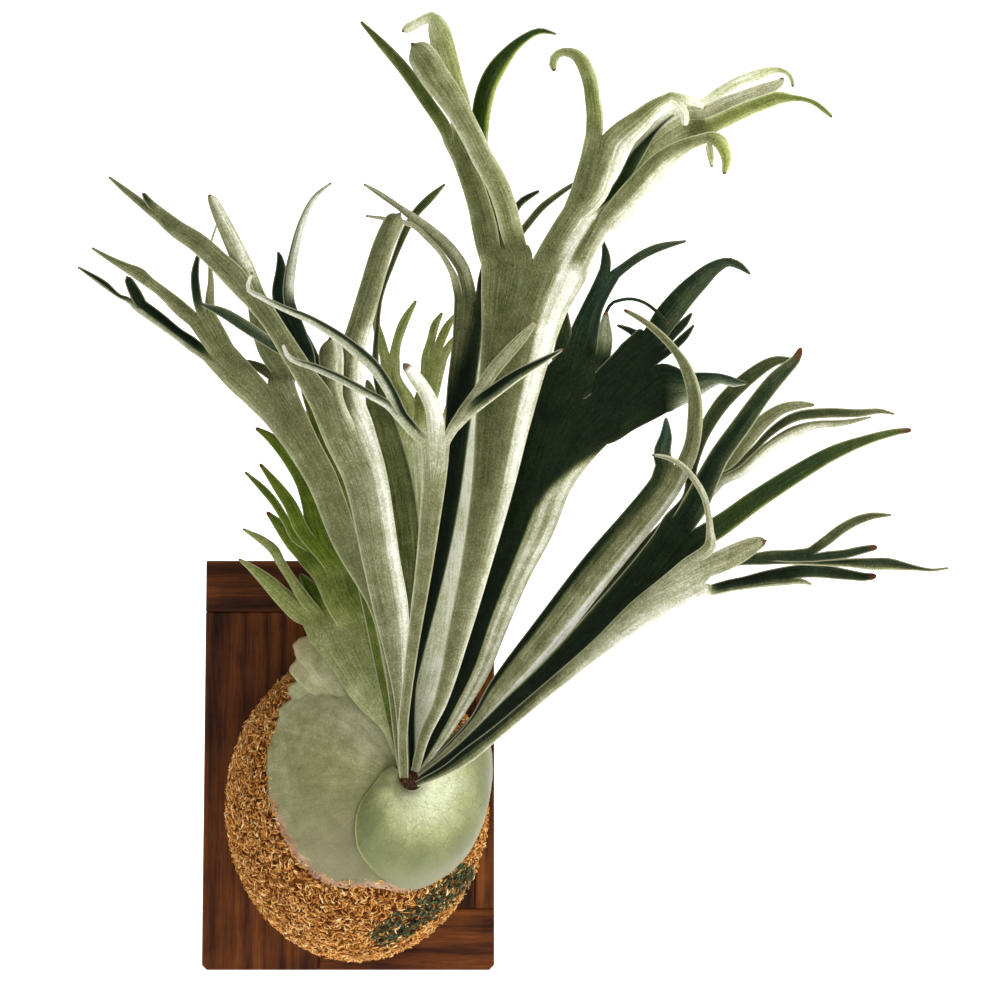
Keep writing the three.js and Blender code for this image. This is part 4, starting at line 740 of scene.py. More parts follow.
class Frond:
    """The mid-surface of a forked frond, grown strap by strap from its stalk."""

    def __init__(self, limb, step):
        self.step = step
        self.points, self.faces, self.stalk = [], [], []
        self.felt, self.hue, self.tip, self.rim, self.inset = [], [], [], [], []
        self.lanes, self.along = [], []
        self.count_columns(limb)
        self.grow(limb, {"distance": 0, "look": DEFAULT_LOOK, "lane": 0})

    def count_columns(self, limb):
        """A lobe has columns for its width, and a strap as many as all its lobes."""
        if limb["lobes"]:
            limb["columns"] = sum(self.count_columns(lobe) for lobe in limb["lobes"])
        else:
            widest = max(point[3] for point in limb["points"])
            limb["columns"] = next(count for limit, count in FACES_ACROSS if widest < limit)
        return limb["columns"]

    @staticmethod
    def row_shape(root, rooted, **known):
        """What the points of a row share, as at the end of a strap unless it is known otherwise."""
        return {"bow": 0, "rooted": rooted, "to_tip": math.inf, "webs": (0, 0), "edges": (1, 1), "blend": 1,
                "origin": root.get("row"), "lane": root["lane"], "progress": 1, **known}

    def cross_row(self, place, shares, shape, surface):
        """A row of points across a strap, whose middle bows towards the eye."""
        point, direction, width = place
        side = unit(np.cross(unit(point - EYE), direction))
        face = np.cross(side, direction)
        half = width / 2
        bow = shape["bow"]
        fade = bow / BLADE_BOW
        ripple = math.sin(shape["rooted"] / RIPPLE_LENGTH * 2 * math.pi) * RIPPLE * half * fade
        rib_place, rib_height = surface["rib"]
        row = []
        for column, share in enumerate(shares):
            across = share * 2 - 1
            web = shape["webs"][0 if across < 0 else 1]
            widened = across * (1 + web / half * abs(across))
            lift = bow * half * (1 - across**2) + ripple * across**3
            crease = 1 - abs(across - rib_place) / (1 + abs(rib_place))
            lift += fade * rib_height * half * (crease - 0.5)
            spot = point + side * (widened * half) + face * lift
            waver = noise.noise(Vector(spot / WAVER_LENGTH)) * WAVER * fade * abs(across)
            row.append(self.add(spot + face * waver, across, shape, surface, column, half))
        return row

    def add(self, spot, across, shape, surface, column, half):
        """Adds a point with its look, which leads over from that of the strap below."""
        share = (across + 1) / 2
        felt, hue = spaced(surface["felt"], share), surface["hue"]
        if surface["end"]:
            left, right, run = surface["turn"]
            middle = left + (right - left) * share
            changed = smooth(middle - run / 2, middle + run / 2, shape["progress"])
            felt += (spaced(surface["end"], share) - felt) * changed
        if shape["origin"] is not None:
            below, blend = shape["origin"][column], shape["blend"]
            felt = self.felt[below] * (1 - blend) + felt * blend
            hue = self.hue[below] * (1 - blend) + hue * blend
        self.points.append(spot)
        self.stalk.append(math.exp(-shape["rooted"] / STALK_FADE))
        self.felt.append(float(felt))
        self.hue.append(float(hue))
        self.rim.append(surface["rim"] * shape["edges"][0 if across < 0 else 1])
        self.inset.append((1 - abs(across)) * half)
        self.tip.append(min(shape["to_tip"] / surface["tip"], 4))
        self.lanes.append(shape["lane"] + column)
        self.along.append(shape["rooted"])
        return len(self.points) - 1

    def stations(self, length, forked_start, tip_length):
        """Distances of the rows along a strap, closer together by a fork and towards a tip."""
        marks = {0.0}
        marks.update(mark for mark in ROWS_BY_FORK if forked_start and mark < length / 2)
        count = max(int(round(length / self.step)), 2)
        marks.update(length * index / count for index in range(1, count))
        if tip_length:
            tip = min(tip_length, length / 2)
            marks = {mark for mark in marks if mark < length - tip}
            marks.update(length - tip * share for share in ROWS_BY_TIP)
        kept = []
        for mark in sorted(marks):
            if not kept or mark - kept[-1] > ROW_GAP:
                kept.append(mark)
        return kept

    def grow(self, limb, root):
        """Lays a strap's rows, then its fork or its tip."""
        surface = {**root["look"], "end": None, "turn": DEFAULT_LOOK["turn"], **limb["look"]}
        traced = [(seen(c, r, o), w * column_size(o)) for c, r, o, w in limb["points"]]
        lower = root.get("row")
        forked_start = lower is not None
        line = Midline([root["node"], *traced] if forked_start else traced, root.get("direction"))
        lobes, columns, inner = limb["lobes"], limb["columns"], root.get("inner", (0, 0))
        tip_length = 0 if lobes else traced[-1][1] * TIP_SHARE + TIP_MORE
        for distance in self.stations(line.length, forked_start, tip_length):
            if forked_start and distance == 0:
                continue
            point, direction, width = line.at(distance)
            left_over = line.length - distance
            bow = BLADE_BOW * smooth(0, width, min(distance, left_over) if lobes else distance)
            if left_over < tip_length:
                width *= max(math.sqrt(1 - (1 - left_over / tip_length) ** 2), LEAST_TIP)
            risen = math.sqrt(min(distance / WEB_RISE, 1))
            web = root.get("web", 0) * risen * math.exp(-distance / WEB_FADE)
            plain = 1 - smooth(*RIM_BEGINS, distance)
            shape = self.row_shape(
                root, root["distance"] + distance, bow=bow, to_tip=math.inf if lobes else left_over,
                webs=[web * side for side in inner], edges=[1 - plain * side for side in inner],
                blend=smooth(0, LOOK_BLEND, distance) if forked_start else 1,
                progress=distance / line.length)
            turned = 1 - smooth(0, FORK_RUN * width, left_over)
            shares = self.shares(lobes, columns, turned)
            row = self.cross_row((point, direction, width), shares, shape, surface)
            if lower is not None:
                self.fill(lower, row)
            lower = row
        end = line.at(line.length)
        rooted = root["distance"] + line.length
        if lobes:
            self.fork(limb, lower, end, rooted, surface, root, line.length)
        else:
            point = end[0] + end[1] * (end[2] / 4 if end[2] > BROAD_TIP else 0)
            shape = self.row_shape(root, rooted, to_tip=0, origin=None)
            tip = self.add(point, 0, shape, surface, columns // 2, 0)
            self.faces.extend((a, b, tip) for a, b in zip(lower, lower[1:]))

    @staticmethod
    def shares(lobes, columns, turned):
        """Where the columns lie across the width, even at first and matched to the lobes at the fork."""
        even = np.linspace(0, 1, columns + 1)
        if not lobes:
            return even
        widths = [lobe["points"][0][3] for lobe in lobes]
        edges = np.concatenate([[0], np.cumsum(widths) / sum(widths)])
        at = np.concatenate([[0], np.cumsum([lobe["columns"] for lobe in lobes])])
        forked = np.interp(np.arange(columns + 1), at, edges)
        return even + (forked - even) * turned

    def fork(self, limb, lower, end, rooted, surface, root, length):
        """Lays the row at a fork and grows each lobe from its part of it."""
        lobes = limb["lobes"]
        shares = self.shares(lobes, limb["columns"], 1)
        blend = smooth(0, LOOK_BLEND, length) if "row" in root else 1
        row = self.cross_row(end, shares, self.row_shape(root, rooted, blend=blend), surface)
        self.fill(lower, row)
        left, right = self.points[row[0]], self.points[row[-1]]
        first = 0
        for index, lobe in enumerate(lobes):
            last = first + lobe["columns"]
            middle = (shares[first] + shares[last]) / 2
            width = (shares[last] - shares[first]) * end[2]
            lobe_width = lobe["points"][0][3] * column_size(lobe["points"][0][2])
            self.grow(lobe, {
                "row": row[first:last + 1], "node": (left + (right - left) * middle, width),
                "direction": end[1], "distance": rooted, "look": surface, "lane": root["lane"] + first,
                "inner": (index > 0, index < len(lobes) - 1), "web": min(WEB, WEB_SHARE * lobe_width),
            })
            first = last

    def fill(self, lower, upper):
        """Faces between two rows."""
        self.faces.extend(zip(lower, lower[1:], upper[1:], upper))


# ---- pieces -------------------------------------------------------------------------------------------

def mesh_piece(name, points, faces, material, node=None):
    """A new piece whose points are given in millimetres."""
    mesh = bpy.data.meshes.new(name)
    mesh.from_pydata([tuple(point * MM) for point in points], [], faces)
    mesh.validate()
    piece = bpy.data.objects.new(f"{name}_fine" if name == node else name, mesh)
    bpy.context.collection.objects.link(piece)
    piece.data.materials.append(material)
    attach(piece, "root")
    if node:
        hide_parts(node)
    return piece


def primitive(name, add, scale, location, **shape):
    """A Blender primitive with its size and place applied, so that its object stays at the origin."""
    bpy.ops.object.select_all(action="DESELECT")
    add(**shape)
    piece = bpy.context.object
    piece.name = piece.data.name = name
    piece.scale, piece.location = scale, location
    bpy.ops.object.transform_apply(location=True, rotation=False, scale=True)
    return piece


def spread(mesh, name, values):
    """Stores a value for each point, for the material to read."""
    layer = mesh.attributes.new(name, "FLOAT", "POINT")
    layer.data.foreach_set("value", np.asarray(values, dtype=np.float32))


def give_lanes(mesh, across, along):
    """A UV map with the place across and along a blade, in metres."""
    layer = mesh.uv_layers.new(name="lanes")
    corners = np.empty(len(mesh.loops), dtype=np.int32)
    mesh.loops.foreach_get("vertex_index", corners)
    uv = np.stack([np.asarray(across)[corners], np.asarray(along)[corners]], axis=1)
    layer.data.foreach_set("uv", uv.astype(np.float32).ravel())


def only(piece):
    """Selects one piece and nothing else."""
    bpy.ops.object.select_all(action="DESELECT")
    piece.select_set(True)
    bpy.context.view_layer.objects.active = piece


def apply_modifiers(piece):
    only(piece)
    for modifier in list(piece.modifiers):
        bpy.ops.object.modifier_apply(modifier=modifier.name)


def thicken(piece, thickness, group=""):
    """Gives a blade its thickness in metres, even or fading from the stalk by a vertex group."""
    solid = piece.modifiers.new("thickness", "SOLIDIFY")
    solid.thickness = thickness
    solid.offset = 0
    solid.use_even_offset = False
    solid.vertex_group = group
    apply_modifiers(piece)
    bpy.ops.object.shade_smooth_by_angle(angle=math.radians(50))


def build_frond(name, limb, leaf, material):
    """A frond at its full fineness in place of its node."""
    frond = Frond(limb, leaf.row_distance / MM)
    piece = mesh_piece(name, frond.points, frond.faces, material, name)
    for quality in ("felt", "hue", "tip", "rim", "inset"):
        spread(piece.data, quality, getattr(frond, quality))
    give_lanes(piece.data, np.asarray(frond.lanes) * LANE_WIDTH, np.asarray(frond.along) * MM)
    group = piece.vertex_groups.new(name="stalk")
    share = leaf.blade_thickness / leaf.stalk_thickness
    for index, stalk in enumerate(frond.stalk):
        group.add([index], share + (1 - share) * stalk, "REPLACE")
    thicken(piece, leaf.stalk_thickness, "stalk")
    piece.vertex_groups.clear()


# ---- shields on the ball ------------------------------------------------------------------------------

def on_mound(column, row):
    """Where a sight line meets the moss ball, or passes it closest."""
    line = sight_line(column, row) / MOUND_RADII
    start = (EYE - MOUND_CENTRE) / MOUND_RADII
    a, b, c = line @ line, line @ start, start @ start - 1
    return EYE + sight_line(column, row) * ((-b - math.sqrt(max(b * b - a * c, 0))) / a)


def mound_normal(point):
    return unit((point - MOUND_CENTRE) / MOUND_RADII**2)


def finer_margin(margin, count):
    """The traced margin as a smooth line with evenly spaced points."""
    corners = np.array(margin, dtype=float)
    chords = np.linalg.norm(np.diff(corners, axis=0), axis=1)
    places = np.concatenate([[0], np.cumsum(chords)])
    slopes = np.gradient(corners, places, axis=0)
    result = []
    for place in np.linspace(0, places[-1], count):
        span = min(np.searchsorted(places, place, side="right") - 1, len(chords) - 1)
        chord = chords[span]
        parts = (corners[span], slopes[span] * chord, corners[span + 1], slopes[span + 1] * chord)
        result.append(weighted(parts, hermite((place - places[span]) / chord)))
    return result


def build_shield(name, shield, material, spokes, rings):
    """A blade from the crown to its margin that lies over the ball."""
    crown = seen(CROWN_SEEN[0], CROWN_SEEN[1], shield["out"])
    margin = finer_margin(shield["margin"], spokes)
    depths = np.array([max(-on_mound(column, row)[1], shield["flare"]) for column, row in margin])
    for _ in range(EVENING):
        depths[1:-1] = (depths[:-2] + 2 * depths[1:-1] + depths[2:]) / 4
    first_angle, last_angle = shield["angles"]
    points, reaches, turns = [], [], []
    for ring in range(rings + 1):
        reach = ring / rings
        for index, (column, row) in enumerate(margin):
            turn = index / (spokes - 1)
            angle = math.radians(first_angle + (last_angle - first_angle) * turn)
            start = crown + np.array([math.cos(angle), 0, math.sin(angle)]) * shield["radius"]
            ragged = (noise.noise(Vector((turn * TEETH[0], 0, 0)))
                      + 0.5 * noise.noise(Vector((turn * TEETH[1], 9, 0))))
            rim = seen(column + ragged * shield["teeth"] * reach, row, depths[index])
            point = start + (rim - start) * reach
            level = np.linalg.norm((point - MOUND_CENTRE) / MOUND_RADII)
            if level < 1:
                point = (point - MOUND_CENTRE) / level + MOUND_CENTRE
            swell = min(np.linalg.norm(rim - start) / SHIELD_SWELL_RUN, 1) * math.sin(math.pi * reach)
            wave = SHIELD_WAVE * reach * noise.noise(Vector(point / SHIELD_WAVE_LENGTH))
            pressed = 1 - 0.55 * smooth(0.75, 1, reach) * smooth(0.1, 0.3, turn)
            raised = (SHIELD_SEAT + shield["lift"] * min(4 * reach, 1) * pressed
                      + shield["bulge"] * swell + max(wave, 0))
            points.append(point + mound_normal(point) * raised)
            reaches.append(reach)
            turns.append(turn)
    faces = []
    for ring in range(rings):
        for spoke in range(spokes - 1):
            a = ring * spokes + spoke
            faces.append((a, a + 1, a + spokes + 1, a + spokes))
    piece = mesh_piece(name, points, faces, material, name)
    spread(piece.data, "reach", reaches)
    spread(piece.data, "turn", turns)
    thicken(piece, SHIELD_THICKNESS * MM)


# ---- shader expressions ---------------------------------------------------------------------------------

def feed(tree, slot, value):
    """Links a value to a socket, or sets the socket where it is a plain one."""
    if isinstance(value, Value):
        tree.links.new(value.socket, slot)
    else:
        slot.default_value = value


def add_node(tree, kind, settings=None, inputs=None, output=0):
    """Adds a node: its settings come first, then the values or links of its sockets."""
    node = tree.nodes.new(kind)
    for name, value in (settings or {}).items():
        if name == "stops":
            elements = node.color_ramp.elements
            while len(elements) < len(value):
                elements.new(0.5)
            for element, (place, colour) in zip(elements, value):
                element.position, element.color = place, colour
        else:
            setattr(node, name, value)
    for name, value in (inputs or {}).items():
        feed(tree, node.inputs[name], value)
    return Value(tree, node.outputs[output])


class Value:
    """A number or colour that varies over a surface. Arithmetic on it adds Math nodes."""

    def __init__(self, tree, socket):
        self.tree, self.socket = tree, socket

    def math(self, operation, *terms, clamp=False):
        settings = {"operation": operation, "use_clamp": clamp}
        return add_node(self.tree, "ShaderNodeMath", settings, dict(enumerate(terms)))

    def __add__(self, other):
        return self.math("ADD", self, other)

    def __sub__(self, other):
        return self.math("SUBTRACT", self, other)

    def __rsub__(self, other):
        return self.math("SUBTRACT", other, self)

    def __mul__(self, other):
        return self.math("MULTIPLY", self, other)

    def __pow__(self, other):
        return self.math("POWER", self, other)

    __radd__ = __add__
    __rmul__ = __mul__

    def clamp(self):
        return self.math("ADD", self, 0.0, clamp=True)

    def sine(self):
        return self.math("SINE", self)

    def step(self, low, high):
        """A smooth step from 0 at low to 1 at high."""
        settings = {"interpolation_type": "SMOOTHSTEP"}
        inputs = {"Value": self, "From Min": low, "From Max": high}
        return add_node(self.tree, "ShaderNodeMapRange", settings, inputs, "Result")


def unrest(*patterns):
    """Sum of patterns, each turned to lie around 0 and given with its weight."""
    return sum((pattern - 0.5) * weight for pattern, weight in patterns)


def from_screen(red, green, blue):
    """Linear colour of a screen colour given from 0 to 255."""
    linear = []
    for part in (red, green, blue):
        part /= 255
        linear.append(part / 12.92 if part <= 0.04045 else ((part + 0.055) / 1.055) ** 2.4)
    return (*linear, 1.0)


class Finish:
    """A material under construction."""

    def __init__(self, name):
        self.material = bpy.data.materials.new(name)
        self.material.use_nodes = True
        self.tree = self.material.node_tree

    def node(self, kind, settings=None, inputs=None, output=0):
        return add_node(self.tree, kind, settings, inputs, output)

    def place(self, scale=(1, 1, 1), shift=(0, 0, 0), uv=None):
        """Object coordinates, or a UV map, moved and scaled."""
        if uv:
            source = self.node("ShaderNodeUVMap", {"uv_map": uv})
        else:
            source = self.node("ShaderNodeTexCoord", output="Object")
        return self.node("ShaderNodeMapping", inputs={"Vector": source, "Scale": scale, "Location": shift})

    def noise(self, place, scale, detail=3.0, rough=0.55, distortion=0.0):
        return self.node("ShaderNodeTexNoise", inputs={
            "Vector": place, "Scale": scale, "Detail": detail, "Roughness": rough, "Distortion": distortion})

    def cells(self, place, scale, feature="F1"):
        """Distance from the middle of a cell, or from its edge."""
        inputs = {"Vector": place, "Scale": scale}
        return self.node("ShaderNodeTexVoronoi", {"feature": feature}, inputs, "Distance")

    def far(self, place, point):
        """Distance of the surface from a point, in metres."""
        inputs = {0: place, 1: tuple(point)}
        return self.node("ShaderNodeVectorMath", {"operation": "DISTANCE"}, inputs, "Value")

    def flat(self, x, y):
        """A flat place for a pattern, from two values."""
        return self.node("ShaderNodeCombineXYZ", inputs={"X": x, "Y": y})

    def attribute(self, name):
        return self.node("ShaderNodeAttribute", {"attribute_name": name}, output="Fac")

    def ramp(self, value, *stops):
        """Screen colours, each given with the value that has it, and shades between them."""
        linear = [(place, from_screen(*colour)) for place, colour in stops]
        return self.node("ShaderNodeValToRGB", {"stops": linear}, {"Fac": value})

    def mix(self, share, colour, other):
        return self.node("ShaderNodeMix", {"data_type": "RGBA"}, {"Factor": share, 6: colour, 7: other}, 2)

    def stain(self, colour, share, *other):
        """The colour with a share of a screen colour."""
        return self.mix(share, colour, from_screen(*other))

    def bump(self, height, distance, strength=1.0):
        inputs = {"Height": height, "Distance": distance, "Strength": strength}
        return self.node("ShaderNodeBump", inputs=inputs)

    def done(self, **inputs):
        """The material, with the shader's inputs set. Their names are written with _ for each space."""
        shader = self.tree.nodes["Principled BSDF"]
        for name, value in inputs.items():
            feed(self.tree, shader.inputs[name.replace("_", " ")], value)
        return self.material


# ---- finishes -------------------------------------------------------------------------------------------

def leaf_material():
    """Felted fern blade: bare dark green under silver hairs, with pale margins, brown tips, painted highlight
    and shade.
    """
    finish = Finish("fern_blade")
    felt, hue, tip = finish.attribute("felt"), finish.attribute("hue"), finish.attribute("tip")
    rim, inset = finish.attribute("rim"), finish.attribute("inset")
    place = finish.place()
    veins = finish.noise(finish.place(scale=(330, 14, 1), uv="lanes"), 1, 3)
    threads = finish.noise(finish.place(scale=(1300, 40, 1), uv="lanes"), 1, 2)
    cloud = finish.noise(place, 55, 4, 0.65)
    speck = finish.noise(place, 520, 3, 0.7)
    down = finish.noise(place, 1300, 2)
    fleck = 1 - finish.cells(place, 260).step(0.08, 0.2)
    texture = unrest((veins, 0.5), (threads, 0.4), (cloud, 0.42), (speck, 0.5), (down, 0.3)) + fleck * 0.16
    # The amount is the silver hairs together with painted light: partly painted highlight where it runs pale,
    # partly painted shade where it runs dark.
    amount = (felt + texture * (felt * 0.9 + 0.4).clamp()).clamp()
    colour = finish.mix((hue * -1).clamp(), finish.ramp(amount, *PLAIN_FELT_AND_LIGHT), finish.ramp(amount, *COOL_FELT_AND_LIGHT))
    colour = finish.mix(hue.clamp(), colour, finish.ramp(amount, *WARM_FELT_AND_LIGHT))
    colour = finish.stain(colour, (rim * (1 - inset.step(0.3, 1.5))).clamp(), 204, 202, 164)
    burnt = 1 - (tip + unrest((cloud, 0.8))).step(0.5, 1.3)
    brown, tan = BROWN_TIP
    colour = finish.mix(burnt * 0.9, colour, finish.mix(speck, from_screen(*brown), from_screen(*tan)))
    normal = finish.bump(veins * 0.6 + threads * 0.2 + speck * 0.3 + cloud * 0.4, 0.0013, 0.7)
    return finish.done(Base_Color=colour, Roughness=0.5 + amount * 0.35, Normal=normal,
                       Specular_IOR_Level=0.09)


def left_shield_material():
    """Pale sage felt, mottled, with a dry ragged margin at the lower left."""
    finish = Finish("left_shield")
    reach, turn = finish.attribute("reach"), finish.attribute("turn")
    place = finish.place()
    mottle = finish.noise(place, 18, 5, 0.6, 0.6)
    cloud = finish.noise(place, 70, 4, 0.6)
    speck = finish.noise(place, 560, 3, 0.7)
    vein = finish.noise(finish.flat(turn * 60, reach * 3), 1, 3)
    net = 1 - finish.cells(place, 110, "DISTANCE_TO_EDGE").step(0.0, 0.06)
    amount = 0.42 + unrest((mottle, 0.9), (cloud, 0.6), (vein, 0.4), (speck, 0.5))
    amount = amount + reach.step(0.55, 1.0) * 0.06 - net * 0.06 + (1 - turn.step(0.3, 0.7)) * 0.34
    colour = finish.ramp(amount.clamp(), (0, (82, 88, 44)), (0.3, (112, 114, 66)), (0.6, (142, 142, 98)),
                         (1, (190, 188, 152)))
    colour = finish.stain(colour, turn.step(0.45, 0.85) * 0.6, 124, 118, 96)
    corner = turn.step(0.10, 0.19) * (1 - turn.step(0.26, 0.4)) * reach.step(0.8, 1.0)
    colour = finish.stain(colour, corner * 0.4, 150, 122, 92)
    scar = 1 - finish.far(place, seen(*SCAR) * MM).step(0.001, 0.006)
    colour = finish.stain(colour, scar * 0.7, 84, 96, 44)
    low_side = turn.step(0.58, 0.66)
    edge = reach + unrest((finish.noise(place, 160, 3), 0.16))
    parched = finish.ramp(cloud, (0.3, (122, 84, 58)), (0.6, (182, 146, 118)), (1, (214, 190, 168)))
    colour = finish.mix(edge.step(0.90, 0.96) * low_side, colour, parched)
    brown_rim = reach.step(0.975, 1.0) * (1 - low_side)
    colour = finish.stain(colour, brown_rim * 0.7, 120, 92, 52)
    holes = 1 - finish.cells(place, 230).step(0.30, 0.42)
    alpha = (1 - edge.step(0.955, 0.985) * low_side * holes).clamp()
    normal = finish.bump(cloud * 0.6 + vein * 0.5 + speck * 0.3, 0.0012, 0.5)
    return finish.done(Base_Color=colour, Roughness=0.75, Alpha=alpha, Normal=normal, Specular_IOR_Level=0.3)


def low_shield_material():
    """Young shield: bright pale green with a fine net of hair-lines, a whitish rim, a painted highlight and
    painted shade by the crown.
    """
    finish = Finish("low_shield")
    reach, turn = finish.attribute("reach"), finish.attribute("turn")
    place = finish.place()
    cloud = finish.noise(place, 22, 4, 0.55, 0.4)
    speck = finish.noise(place, 560, 3, 0.7)
    bend = finish.flat(turn * 34 + cloud * 1.6, reach * 9 + cloud)
    net = finish.cells(bend, 1, "DISTANCE_TO_EDGE")
    fine_net = finish.cells(bend, 3.2, "DISTANCE_TO_EDGE")
    line = (1 - net.step(0.0, 0.045)) * 0.55 + (1 - fine_net.step(0.0, 0.05)) * 0.28
    # Painted highlight: the shield is painted brighter round one point, a pool of light.
    painted_highlight = 1 - finish.far(place, seen(*HIGHLIGHT_SPOT) * MM).step(0.022, 0.092)
    amount = 0.20 + unrest((cloud, 0.7), (speck, 0.4)) + painted_highlight * 0.7
    colour = finish.ramp(amount.clamp(), (0, (86, 94, 46)), (0.35, (122, 127, 78)), (0.65, (168, 172, 122)),
                         (1, (238, 244, 204)))
    colour = finish.stain(colour, line * 0.8, 84, 100, 50)
    grey = reach.step(0.55, 1.0) * turn.step(0.25, 0.55) * (1 - turn.step(0.8, 1.0))
    colour = finish.stain(colour, grey * 0.8, 142, 138, 114)
    bright = (1 - turn.step(0.2, 0.4)) * reach.step(0.955, 1.0)
    colour = finish.stain(colour, bright * 0.7, 182, 180, 112)
    # Painted shade: darker and browner in the hollow round the crown, shade in the hollow with the brown of
    # its pleats.
    navel_brown_and_shade = 1 - reach.step(0.02, 0.10)
    colour = finish.stain(colour, navel_brown_and_shade * 0.5, 96, 84, 50)
    normal = finish.bump(cloud * 0.5 - line * 0.5 + speck * 0.2, 0.001, 0.4)
    return finish.done(Base_Color=colour, Roughness=0.6, Normal=normal, Specular_IOR_Level=0.4)


def wood_material(name, upright, shift, tone):
    """Stained pine: fibres, growth lines and cloudy stain along the grain of one plank."""
    finish = Finish(name)
    along, across = GRAIN_ALONG, GRAIN_ACROSS
    scale = (across, across, along) if upright else (along, across, across)
    plain = finish.place(shift=shift)
    grain = finish.place(scale=scale, shift=shift)
    wander = finish.noise(finish.place(scale=[part / 9 for part in scale], shift=shift), 1, 3)
    fibre = finish.noise(grain, 1, 6, 0.62, 0.4)
    hair = finish.noise(grain, 5.5, 4, 0.7)
    depth = finish.node("ShaderNodeSeparateXYZ", inputs={0: plain}, output="X" if upright else "Z")
    rings = ((depth * 210 + wander * 26).sine() * 0.5 + 0.5) ** 3
    stain = finish.noise(plain, 9, 4)
    amount = 0.02 + fibre * 0.62 - rings * 0.12 + unrest((hair, 0.55), (stain, 0.8)) + tone
    colour = finish.ramp(amount.clamp(), (0, (20, 7, 2)), (0.22, (54, 25, 8)), (0.45, (96, 50, 18)),
                         (0.7, (138, 80, 36)), (1, (178, 116, 60)))
    pore = hair.step(0.60, 0.70)
    colour = finish.stain(colour, pore * 0.55, 20, 9, 4)
    normal = finish.bump(fibre * 0.5 + hair * 0.5 - pore * 0.4, 0.0006, 0.6)
    return finish.done(Base_Color=colour, Roughness=0.5 + fibre * 0.2, Normal=normal, Specular_IOR_Level=0.1)


def moss_material():
    """Dry sphagnum strands, each in its own shade, green where it is alive."""
    finish = Finish("sphagnum")
    shade, alive = finish.attribute("shade"), finish.attribute("alive")
    speck = finish.noise(finish.place(), 500, 3)
    amount = (shade + unrest((speck, 0.3))).clamp()
    dry = finish.ramp(amount, (0, (74, 36, 8)), (0.25, (152, 90, 34)), (0.5, (204, 138, 64)),
                      (0.75, (232, 178, 104)), (1, (250, 222, 164)))
    green = finish.ramp(amount, (0, (20, 28, 18)), (0.5, (58, 72, 48)), (1, (120, 128, 90)))
    return finish.done(Base_Color=finish.mix(alive, dry, green), Roughness=0.95,
                       Normal=finish.bump(speck, 0.0004, 0.6), Specular_IOR_Level=0.15)


def crown_material():
    """Rust-brown chaffy scales."""
    finish = Finish("rhizome_scales")
    speck = finish.noise(finish.place(), 700, 3)
    amount = (finish.attribute("shade") * 0.7 + speck * 0.4).clamp()
    colour = finish.ramp(amount, (0, (24, 13, 8)), (0.5, (62, 36, 22)), (0.8, (104, 68, 44)),
                         (1, (150, 112, 80)))
    return finish.done(Base_Color=colour, Roughness=0.9, Normal=finish.bump(speck, 0.0005, 0.6),
                       Specular_IOR_Level=0.2)


def backing_material():
    """Bare plywood behind the planks."""
    finish = Finish("backing_ply")
    grain = finish.noise(finish.place(scale=(30, 30, 3)), 4, 5, 0.6, 0.3)
    colour = finish.ramp(grain, (0.2, (96, 70, 44)), (0.6, (142, 110, 74)), (1, (170, 138, 98)))
    return finish.done(Base_Color=colour, Roughness=0.75, Normal=finish.bump(grain, 0.0004, 0.5),
                       Specular_IOR_Level=0.3)


def backdrop_material():
    """Nearly white, and lit a little from within."""
    finish = Finish("white_backdrop")
    dapple = finish.noise(finish.place(), 2, 2)
    colour = finish.ramp(dapple, (0, (250, 250, 250)), (1, (254, 254, 254)))
    return finish.done(Base_Color=colour, Roughness=0.9, Emission_Color=colour, Emission_Strength=0.85)


# ---- moss and crown -------------------------------------------------------------------------------------

def inside(polygon, spots):
    """True for the spots that lie inside a closed outline, by crossings along each row."""
    result = np.zeros(len(spots), dtype=bool)
    for (x0, y0), (x1, y1) in zip(polygon, np.roll(polygon, -1, axis=0)):
        if y0 == y1:
            continue
        crosses = (spots[:, 1] < y0) != (spots[:, 1] < y1)
        at = x0 + (spots[:, 1] - y0) / (y1 - y0) * (x1 - x0)
        result ^= crosses & (spots[:, 0] < at)
    return result


def shield_outline(shield):
    """Closed outline of a shield as seen, drawn in a little from its margin."""
    outline = np.array([*shield["margin"], CROWN_SEEN[:2]], dtype=float)
    middle = outline.mean(axis=0)
    return middle + (outline - middle) * 0.95


def near_line(spots, line, width):
    """1 on a line of columns and rows, fading to 0 at its width."""
    nearest = np.full(len(spots), np.inf)
    for start, end in zip(np.array(line[:-1], float), np.array(line[1:], float)):
        along = np.clip(((spots - start) @ (end - start)) / ((end - start) @ (end - start)), 0, 1)
        foot = start + along[:, None] * (end - start)
        nearest = np.minimum(nearest, np.linalg.norm(spots - foot, axis=1))
    return 1 - smooth(width * 0.7, width * 1.3, nearest)


def strand_seats(random, count):
    """Random places on the ball, as unit directions from its centre, but none that a shield hides."""
    turns = random.uniform(0, 2 * math.pi, count)
    ahead = random.uniform(0.0, 1.0, count) ** 0.85
    aside = np.sqrt(1 - ahead**2)
    ways = np.stack([aside * np.cos(turns), -ahead, aside * np.sin(turns)], axis=1)
    spots = MOUND_CENTRE + ways * MOUND_RADII
    views = viewed(spots)
    hidden = inside(shield_outline(LEFT_SHIELD), views) | inside(shield_outline(LOW_SHIELD), views)
    facing = ((EYE - spots) * (ways / MOUND_RADII)).sum(axis=1) > 0
    return ways[~(hidden & facing)]


